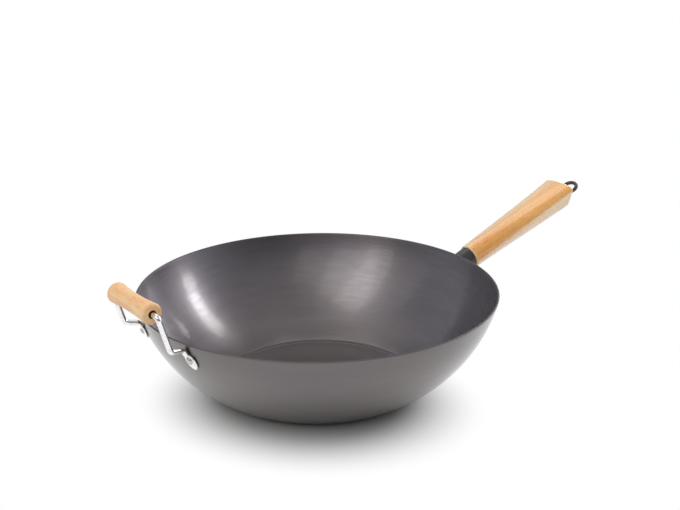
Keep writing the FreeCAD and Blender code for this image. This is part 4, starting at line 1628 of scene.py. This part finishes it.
@dataclass
class HangingEye:
    """The eye beyond the handle's end, with its rod, shoulder and washer."""

    handle: LongHandle
    rod_radius: float = 0.0025
    rod_start: float = -0.020
    shoulder_radius: float = 0.00375
    shoulder_length: float = 0.0045
    shoulder_round: float = 0.0008
    shoulder_sweep: float = 75.0
    eye_radius: float = 0.0076
    wire_radius: float = 0.0020
    foot_overlap: float = 0.0006
    roll: float = 4.0
    lift: float = 12.0
    washer_radius: float = 0.008
    washer_hole: float = 0.0028
    washer_thickness: float = 0.0012
    washer_round: float = 0.0003
    eye_steps: int = 96
    wire_steps: int = 28
    stem_steps: int = 48
    shoulder_steps: int = 5
    washer_steps: int = 72
    washer_round_steps: int = 4

    def seat(self) -> float:
        """Distance along the axis where the shoulder begins, on top of the washer."""
        return self.handle.length + self.washer_thickness

    def eye_rings(self) -> list[Ring]:
        """The closed eye.

        Returns:
            Its rings, in the frame of its foot.
        """
        rings = []
        for turn in full_turn(self.eye_steps):
            outward = Vector((math.cos(turn), math.sin(turn), 0.0))
            centre = Vector((self.eye_radius, 0.0, 0.0)) + outward * self.eye_radius
            rings.append(round_ring(centre, outward, UP, self.wire_radius, self.wire_steps))
        return rings

    def stem_profile(self) -> Profile:
        """The rod and its shoulder.

        Returns:
            Radius and distance along the axis of each point.
        """
        seat = self.seat()
        foot = seat + self.shoulder_length
        edge = self.shoulder_round
        inset = self.shoulder_radius - edge
        sweep = math.radians(self.shoulder_sweep)
        end = foot + self.foot_overlap
        tail = self.rod_start
        profile = [(0.0, tail), (self.rod_radius, tail), (self.rod_radius, seat)]
        profile += arc_points((inset, seat + edge), edge, -QUARTER_TURN, 0.0, self.shoulder_steps)
        profile += arc_points((inset, foot - edge), edge, 0.0, sweep, self.shoulder_steps)
        return profile + [(self.wire_radius, end), (0.0, end)]

    def washer_profile(self) -> Profile:
        """The washer's closed section.

        Returns:
            Radius and height of each point.
        """
        edge = self.washer_round
        top = self.washer_thickness
        inset = self.washer_radius - edge
        steps = self.washer_round_steps
        profile = [(self.washer_hole, 0.0)]
        profile += arc_points((inset, edge), edge, -QUARTER_TURN, 0.0, steps)
        profile += arc_points((inset, top - edge), edge, 0.0, QUARTER_TURN, steps)
        return profile + [(self.washer_hole, top)]

    def along_axis(self, distance: float) -> Matrix:
        """Placement on the axis with local Z pointing out along the handle."""
        matrix = self.handle.axis.matrix(distance)
        return pointing(matrix.translation, matrix.to_3x3().col[0])

    def build(self, finishes: MetalFinishes) -> None:
        """Make the eye with its rod, and the washer, and dress them.

        Args:
            finishes: The shared metal finishes.
        """
        lift = Matrix.Rotation(-math.radians(self.lift), 4, "Y")
        roll = Matrix.Rotation(math.radians(self.roll), 4, "X")
        foot = self.handle.axis.matrix(self.seat() + self.shoulder_length)
        eye = skin("hanging_eye", self.eye_rings(), loop=True)
        eye.data.transform(foot @ (lift @ roll))
        stem = lathe("hanging_eye_stem", self.stem_profile(), self.stem_steps)
        stem.data.transform(self.along_axis(0.0))
        unite(eye, stem)
        finish_piece(eye, finishes.black, Body.WOK, "hanging_eye_rod")
        washer = lathe("hanging_eye_washer", self.washer_profile(), self.washer_steps, loop=True)
        washer.matrix_world = self.along_axis(self.handle.length)
        finish_piece(washer, finishes.black, Body.WOK, "eye_washer")


@dataclass
class HelperBail:
    """The bent wire with its two flattened lugs, and the rivets that fasten them.

    A section's power is 2 for an oval, and more for a rounded oblong.
    """

    bowl: Bowl
    wire_radius: float = 0.0026
    leg_spread: float = 0.0865
    bend_radius: float = 0.004
    knee_radius: float = 0.005
    knee_standoff: float = 0.0097
    knee_drop: float = 0.0035
    grip_standoff: float = 0.0201
    grip_rise: float = 0.0309
    rivet_spread: float = 0.0852
    rivet_drop: float = 0.0152
    lug_half_length: float = 0.0105
    lug_half_width: float = 0.006
    lug_half_thickness: float = 0.0013
    lug_lean: float = 21.0
    lug_gap: float = 0.00005
    lug_angles: tuple[int, ...] = (4, 10, 18, 27, 37, 47, 57, 67, 78, 90)
    tip_thinning: float = 0.30
    tip_sharpness: int = 10
    neck_length: float = 0.0024
    neck_gap: float = 0.0001
    hammered_length: float = 0.010
    hammered_thickness: float = 0.0019
    hammered_width: float = 0.0031
    round_power: float = 2.0
    hammered_power: float = 2.4
    flat_power: float = 4.0
    head_radius: float = 0.0042
    shown_head_radius: float = 0.0036
    head_height: float = 0.0022
    head_round: float = 0.0004
    head_edge_turn: float = 35.0
    inner_head_height: float = 0.001
    inner_seat: float = 0.0001
    shank_radius: float = 0.00248
    section_steps: int = 28
    bend_steps: int = 12
    neck_rows: int = 18
    dome_steps: int = 12
    head_edge_steps: int = 5
    rivet_steps: int = 56

    def rivet_place(self, side: Side) -> tuple[Vector, Vector, Vector]:
        """Where a rivet stands.

        Args:
            side: Which end of the bail.

        Returns:
            The point on the wall's outside, the outward normal, and the lug's direction to
            its tip.
        """
        height = self.bowl.height - self.rivet_drop
        radius, normal_out, normal_up = self.bowl.wall_at(height)
        azimuth = math.pi - side.value * math.asin(self.rivet_spread / 2 / radius)
        flat = Vector((math.cos(azimuth), math.sin(azimuth), 0.0))
        tangent = UP.cross(flat)
        normal = flat * normal_out + Vector((0.0, 0.0, normal_up))
        up = normal.cross(tangent)
        away = tangent * -side.value
        lean = math.radians(self.lug_lean)
        along = up * -math.cos(lean) + away * math.sin(lean)
        return flat * radius + Vector((0.0, 0.0, height)), normal, along

    def neck_start(self) -> float:
        """How far above the rivet the round wire ends and its neck begins to flatten."""
        return self.head_radius + self.neck_gap + self.neck_length

    def beyond_rim(self, standoff: float, reach: float, rise: float) -> Vector:
        """A point a standoff outside the rim, at a reach in Y and a rise above it."""
        return Vector((-self.bowl.rim_radius - standoff, reach, self.bowl.height + rise))

    def grip_centre(self) -> Vector:
        """The middle of the grip's axis."""
        return self.beyond_rim(self.grip_standoff, 0.0, self.grip_rise)

    def corners(self, side: Side) -> list[Vector]:
        """Corners of one half of the wire's centre line.

        Args:
            side: Which end of the bail.

        Returns:
            The corners, from the lug to the grip.
        """
        point, normal, along = self.rivet_place(side)
        foot = point + normal * (self.wire_radius + self.lug_gap) - along * self.neck_start()
        neck = foot - along * self.bend_radius
        reach = side.value * self.leg_spread / 2
        knee = self.beyond_rim(self.knee_standoff, reach, -self.knee_drop)
        return [foot, neck, knee, self.beyond_rim(self.grip_standoff, reach, self.grip_rise)]

    def wire_points(self) -> list[Vector]:
        """The wire's centre line, with its corners bent round.

        Returns:
            Its points, from the right foot over the grip to the left foot.
        """
        corners = self.corners(Side.RIGHT) + self.corners(Side.LEFT)[::-1]
        half_radii = [self.bend_radius, self.knee_radius, self.bend_radius]
        points = [corners[0]]
        radii = half_radii + half_radii[::-1]
        for before, corner, after, radius in zip(corners, corners[1:], corners[2:], radii):
            back = (before - corner).normalized()
            ahead = (after - corner).normalized()
            half = back.angle(ahead) / 2
            centre = corner + (back + ahead).normalized() * (radius / math.sin(half))
            cut = radius / math.tan(half)
            leave, rejoin = (corner + way * cut - centre for way in (back, ahead))
            sweep = leave.angle(rejoin)
            for share in equal_shares(self.bend_steps):
                early, late = math.sin((1 - share) * sweep), math.sin(share * sweep)
                points.append(centre + (leave * early + rejoin * late) / math.sin(sweep))
        points.append(corners[-1])
        return points

    def oval(
        self, centre: Vector, across: Vector, outward: Vector, half: Pair, power: float
    ) -> Ring:
        """A ring between an oval and a rounded oblong.

        Args:
            centre: Its centre.
            across: Unit vector of its width.
            outward: Unit vector of its thickness.
            half: Half its width and half its thickness.
            power: Its power.

        Returns:
            Its points.
        """
        ring = []
        for turn in full_turn(self.section_steps):
            wide, thick = (
                math.copysign(abs(part) ** (2 / power), part) * size
                for part, size in zip((math.cos(turn), math.sin(turn)), half)
            )
            ring.append(centre + across * wide + outward * thick)
        return ring

    def lug_rings(self, side: Side) -> list[Ring]:
        """A lug with its neck.

        Args:
            side: Which end of the bail.

        Returns:
            Its rings, from its tip to where the wire is round.
        """
        point, normal, along = self.rivet_place(side)
        across = normal.cross(along) * side.value
        start = self.neck_start()
        flat_end = self.shown_head_radius + self.neck_gap
        rings = []
        for angle in self.lug_angles:
            place = self.lug_half_length * math.cos(math.radians(angle))
            width = self.lug_half_width * math.sin(math.radians(angle))
            thinned = self.tip_thinning * (place / self.lug_half_length) ** self.tip_sharpness
            half = (width, self.lug_half_thickness * (1 - thinned))
            centre = self.lug_centre(point, normal, along, place, self.lug_half_thickness)
            rings.append(self.oval(centre, across, normal, half, self.flat_power))
        for step in range(1, self.neck_rows + 1):
            place = start * step / self.neck_rows
            width = eased(place / start, self.lug_half_width, self.hammered_width)
            risen = max(place - flat_end, 0.0) / (start - flat_end)
            thickness = eased(risen, self.lug_half_thickness, self.hammered_thickness)
            power = eased(risen, self.flat_power, self.hammered_power)
            centre = self.lug_centre(point, normal, along, -place, thickness)
            rings.append(self.oval(centre, across, normal, (width, thickness), power))
        return rings

    def lug_centre(
        self, point: Vector, normal: Vector, along: Vector, place: float, half: float
    ) -> Vector:
        """Centre of a lug's section, which follows the curve of the wall towards its tip.

        Args:
            point: The wall under the rivet.
            normal: Outward normal there.
            along: The lug's direction to its tip.
            place: Distance from the rivet to the section, towards the tip.
            half: Half the section's thickness.

        Returns:
            The centre.
        """
        sag = max(place, 0.0) ** 2 / (2 * self.bowl.wall_arc_radius)
        return point + along * place + normal * (self.lug_gap + half - sag)

    def rings(self) -> list[Ring]:
        """The whole bail.

        Returns:
            Its rings, from the tip of the right lug to the tip of the left one.
        """
        right = self.lug_rings(Side.RIGHT)
        left = self.lug_rings(Side.LEFT)[::-1]
        points = self.wire_points()
        _, outward, along = self.rivet_place(Side.RIGHT)
        across = outward.cross(along) * Side.RIGHT.value
        heading = (points[1] - points[0]).normalized()
        walked = [0.0]
        for near, far in zip(points, points[1:]):
            walked.append(walked[-1] + (far - near).length)
        wire = []
        for index in range(1, len(points) - 1):
            ahead = (points[index + 1] - points[index - 1]).normalized()
            turn = heading.rotation_difference(ahead)
            across = turn @ across
            outward = turn @ outward
            heading = ahead
            from_foot = min(walked[index], walked[-1] - walked[index])
            wire.append(self.wire_ring(points[index], across, outward, from_foot))
        return right + wire + self.aligned(left, wire[-1])

    def wire_ring(self, centre: Vector, across: Vector, outward: Vector, distance: float) -> Ring:
        """A ring of the wire, hammered flatter towards its lug.

        Args:
            centre: Point of the centre line.
            across: Unit vector of the width.
            outward: Unit vector away from the wall.
            distance: Distance along the wire from the nearer foot.

        Returns:
            Its points.
        """
        share = max(1 - distance / self.hammered_length, 0.0)
        width = eased(share, self.wire_radius, self.hammered_width)
        thickness = eased(share, self.wire_radius, self.hammered_thickness)
        power = eased(share, self.round_power, self.hammered_power)
        sunk = centre - outward * (self.wire_radius - thickness)
        return self.oval(sunk, across, outward, (width, thickness), power)

    def aligned(self, rings: list[Ring], before: Ring) -> list[Ring]:
        """Rings re-numbered to follow a ring without twisting.

        Args:
            rings: The rings to re-number.
            before: The ring that comes before them.

        Returns:
            The same rings, each started and wound to suit.
        """
        count = len(before)
        orders = []
        for way in (1, -1):
            for shift in range(count):
                orders.append([(shift + way * step) % count for step in range(count)])
        first = rings[0]
        best = min(
            orders,
            key=lambda order: sum((first[at] - point).length for at, point in zip(order, before)),
        )
        return [[ring[at] for at in best] for ring in rings]

    def dome(self, radius: float, height: float, parts: int) -> Profile:
        """The side of a domed head.

        Args:
            radius: Radius of its foot.
            height: Height of its top.
            parts: Steps from the top to the foot.

        Returns:
            Radius and depth below the top of each point, from the top down.
        """
        arc = arc_radius(radius, height)
        reach = math.asin(radius / arc)
        turns = [reach * step / parts for step in range(1, self.dome_steps + 1)]
        return [(arc * math.sin(turn), arc * (1 - math.cos(turn))) for turn in turns]

    def rivet_profile(self) -> Profile:
        """A rivet's section: the head on the lug, the shank and the low inner head.

        Returns:
            Radius and distance along its axis of each point.
        """
        seat = 2 * self.lug_half_thickness + self.lug_gap
        top = seat + self.head_height
        inner = -self.bowl.thickness - self.inner_seat
        bottom = inner - self.inner_head_height
        head = self.dome(self.shown_head_radius, self.head_height, self.dome_steps + 1)
        inner_head = self.dome(self.head_radius, self.inner_head_height, self.dome_steps)
        edge_centre = (self.shown_head_radius - self.head_round, seat + self.head_round)
        edge_turns = (math.radians(self.head_edge_turn), -QUARTER_TURN)
        profile = [(0.0, top)] + [(radius, top - depth) for radius, depth in head]
        profile += arc_points(edge_centre, self.head_round, *edge_turns, self.head_edge_steps)
        profile += [(self.shank_radius, seat), (self.shank_radius, inner)]
        profile += [(radius, bottom + depth) for radius, depth in reversed(inner_head)]
        return profile + [(0.0, bottom)]

    def build(self, finishes: MetalFinishes) -> None:
        """Make the bail and its rivets, and dress them.

        Args:
            finishes: The shared metal finishes.
        """
        bail = skin("helper_bail_wire", self.rings(), crease=SOFT_CREASE)
        finish_piece(bail, finishes.plate, Body.WOK, "helper_bail")
        for side in Side:
            name = f"helper_rivet_{side.name.lower()}"
            point, normal, _ = self.rivet_place(side)
            rivet = lathe(f"{name}_head", self.rivet_profile(), self.rivet_steps)
            rivet.matrix_world = pointing(point, normal)
            finish_piece(rivet, finishes.rivet, Body.WOK, name)


@dataclass
class HelperGrip:
    """The waisted wooden sleeve that turns on the bail."""

    bail: HelperBail
    length: float = 0.068
    end_radius: float = 0.0098
    waist_radius: float = 0.0085
    end_round: float = 0.0028
    bore_clearance: float = 0.00008
    bore_mouth: float = 0.0008
    mouth_depth: float = 0.0028
    steps: int = 96
    waist_steps: int = 40
    end_steps: int = 9

    def bore_radius(self) -> float:
        """Radius of the bore that the wire runs through."""
        return self.bail.wire_radius + self.bore_clearance

    def profile(self) -> Profile:
        """The grip's closed section.

        Returns:
            Radius and distance along its axis of each point.
        """
        half = self.length / 2
        chord = half - self.end_round
        hollow = arc_radius(chord, self.end_radius - self.waist_radius)
        sweep = math.asin(chord / hollow)
        bore = self.bore_radius()
        waist_centre = (self.waist_radius + hollow, 0.0)
        waist = arc_points(waist_centre, hollow, math.pi + sweep, math.pi - sweep, self.waist_steps)
        end_centre = (self.end_radius - self.end_round, chord)
        top = arc_points(end_centre, self.end_round, 0.0, QUARTER_TURN, self.end_steps)[1:]
        mouth = [(bore + self.bore_mouth, half), (bore, half - self.mouth_depth)]
        return mirrored(top, (1, -1)) + waist + top + mouth + mirrored(mouth, (1, -1))

    def build(self) -> None:
        """Make the grip and dress it."""
        piece = lathe("helper_grip_wood", self.profile(), self.steps, loop=True)
        along, across = Vector((0.0, 1.0, 0.0)), Vector((-1.0, 0.0, 0.0))
        own = axes_matrix(self.bail.grip_centre(), along, across)
        piece.data.transform(own @ Matrix.Rotation(QUARTER_TURN, 4, "Y"))
        wood = TurnedWood(
            name="grip_beech",
            own=own,
            pale=(1.0, 0.72, 0.41),
            middle=(1.0, 0.57, 0.28),
            dark=(0.80, 0.41, 0.17),
            tone_scale=(45.0, 70.0, 70.0),
            ring_width=0.0052,
            pith=(0.012, 0.021),
            bore_radius=self.bore_radius(),
            flecks=0.25,
            roughness=0.46,
            varnish=0.10,
        )
        finish_piece(piece, wood.build(), Body.GRIP, "helper_grip")


# Studio


@dataclass(frozen=True)
class Softbox:
    """A soft lamp, placed by its direction from the wok."""

    name: str
    azimuth: float
    elevation: float
    distance: float
    width: float
    height: float
    power: float
    lean: float = 0.0
    shape: LampShape = LampShape.OBLONG
    tint: Colour = (1.0, 1.0, 1.0)

    def build(self, aim: Vector) -> None:
        """Make the lamp.

        Args:
            aim: The point that it faces.
        """
        direction = towards(self.azimuth, self.elevation)
        upright = pointing(aim + direction * self.distance, direction)
        lamp = bpy.data.lights.new(self.name, "AREA")
        lamp.shape = self.shape.value
        lamp.size = self.width
        lamp.size_y = self.height
        lamp.energy = self.power
        lamp.color = self.tint
        stand = bpy.data.objects.new(self.name, lamp)
        stand.matrix_world = upright @ Matrix.Rotation(math.radians(self.lean), 4, "Z")
        bpy.context.scene.collection.objects.link(stand)


WARM_WHITE = (1.0, 0.985, 0.945)
WARMER_WHITE = (1.0, 0.965, 0.925)
BACK_LEAN = -31.0


@dataclass
class Studio:
    """The floor, the lamps, the sky and the camera.

    A fade of the sky gives two parts of a direction, and the levels at them.
    """

    floor_reach: float = 30.0
    floor_level: float = -0.00005
    sky_level: float = 0.58
    backdrop_level: float = 1.15
    front_level: float = 0.15
    front_fade: Pair = (-0.9, 0.0)
    backdrop_azimuth: float = 53.7
    backdrop_fade: Pair = (-0.60, 0.20)
    backdrop_heights: Pair = (0.65, 0.25)
    middle_fade: Fade = (1.0, 0.72, 0.3, 1.0)
    left_fade: Fade = (-0.2, 0.6, 1.0, 0.28)
    right_fade: Fade = (-0.98, -0.60, 0.5, 1.0)
    lamp_aim: Triple = (0.0, 0.0, 0.06)
    camera_azimuth: float = -126.3
    camera_elevation: float = 19.006
    camera_distance: float = 1.1502
    camera_roll: float = -0.332
    camera_target: Triple = (0.0177, -0.0130, 0.1307)
    camera_lens: float = 63.53
    camera_reach: float = 200.0
    sensor_width: float = 36.0
    lamps: tuple[Softbox, ...] = (
        Softbox(
            "softbox_back_right", -11.6, 27.9, 1.5, 0.27, 0.92, 4.55, BACK_LEAN, tint=WARM_WHITE
        ),
        Softbox(
            "softbox_back_core", -12.2, 27.0, 1.5, 0.20, 0.42, 1.25, BACK_LEAN, LampShape.OVAL
        ),
        Softbox("panel_back_right", 22.5, 13.8, 1.5, 0.52, 0.34, 2.9),
        Softbox("softbox_front_left", -173.5, 46.0, 1.6, 0.55, 1.55, 3.9, tint=WARMER_WHITE),
        Softbox("softbox_front", -156.0, 46.0, 1.6, 0.90, 1.30, 3.0),
        Softbox("panel_front", -141.0, 42.0, 1.7, 1.60, 1.00, 2.4),
        Softbox("panel_left", 160.0, 42.0, 1.6, 0.80, 1.30, 0.9),
        Softbox("softbox_overhead", 62.0, 60.0, 1.9, 1.30, 1.20, 6.5),
    )

    def build_floor(self) -> None:
        """Lay the floor just under the base."""
        signs = ((-1, -1), (1, -1), (1, 1), (-1, 1))
        reach, level = self.floor_reach, self.floor_level
        corners = [(first * reach, second * reach, level) for first, second in signs]
        mesh = bpy.data.meshes.new("studio_floor")
        mesh.from_pydata(corners, [], [(0, 1, 2, 3)])
        floor = bpy.data.objects.new("studio_floor", mesh)
        mesh.materials.append(PaleFloor().build())
        bpy.context.scene.collection.objects.link(floor)

    def build_sky(self) -> None:
        """Light the scene from all round, with a pale backdrop low behind the wok."""
        world = bpy.data.worlds.new("studio_sky")
        bpy.context.scene.world = world
        world.use_nodes = True
        graph = Graph.on_tree(world.node_tree, "ShaderNodeOutputWorld")
        direction = graph.add("ShaderNodeTexCoord").outputs["Generated"]
        _, _, height = graph.split(direction)
        behind = graph.along(direction, towards(self.backdrop_azimuth, 0.0))
        left = graph.along(direction, towards(self.backdrop_azimuth + 90.0, 0.0))
        rise = self.backdrop_level - self.sky_level
        backdrop = graph.spread(behind, *self.backdrop_fade, 0.0, rise)
        for part, fade in (
            (behind, self.middle_fade),
            (left, self.left_fade),
            (left, self.right_fade),
        ):
            backdrop = graph.times(backdrop, graph.spread(part, *fade))
        low = graph.spread(behind, *self.front_fade, self.front_level, self.sky_level)
        share = graph.spread(height, *self.backdrop_heights)
        below = graph.times(graph.plus(low, backdrop), share)
        above = graph.times(graph.minus(1.0, share), self.sky_level)
        graph.show(graph.add("ShaderNodeBackground", Strength=graph.plus(below, above)))

    def build_camera(self) -> None:
        """Set the camera at the photograph's viewpoint."""
        back = towards(self.camera_azimuth, self.camera_elevation)
        right = UP.cross(back).normalized()
        up = back.cross(right)
        roll = math.radians(self.camera_roll)
        tilted = right * math.cos(roll) + up * math.sin(roll)
        place = Vector(self.camera_target) + back * self.camera_distance
        data = bpy.data.cameras.new("camera")
        data.lens = self.camera_lens
        data.sensor_fit = "HORIZONTAL"
        data.sensor_width = self.sensor_width
        data.clip_end = self.camera_reach
        camera = bpy.data.objects.new("camera", data)
        camera.matrix_world = axes_matrix(place, tilted, back.cross(tilted))
        bpy.context.scene.collection.objects.link(camera)
        bpy.context.scene.camera = camera

    def build(self) -> None:
        """Set up the whole studio."""
        bpy.context.scene.view_settings.view_transform = "Standard"
        self.build_floor()
        self.build_sky()
        for lamp in self.lamps:
            lamp.build(Vector(self.lamp_aim))
        self.build_camera()


def main() -> None:
    """Build the wok and its studio."""
    logging.basicConfig(level=logging.INFO, format="%(name)s %(message)s")
    bowl = Bowl()
    finishes = MetalFinishes(SpunSteel(bowl).build())
    axis = HandleAxis(bowl)
    handle = LongHandle(axis)
    bail = HelperBail(bowl)
    for metal in (bowl, Ferrule(axis), HangingEye(handle), bail):
        metal.build(finishes)
    for wooden in (handle, HelperGrip(bail)):
        wooden.build()
    Studio().build()


if __name__ == "__main__":
    main()
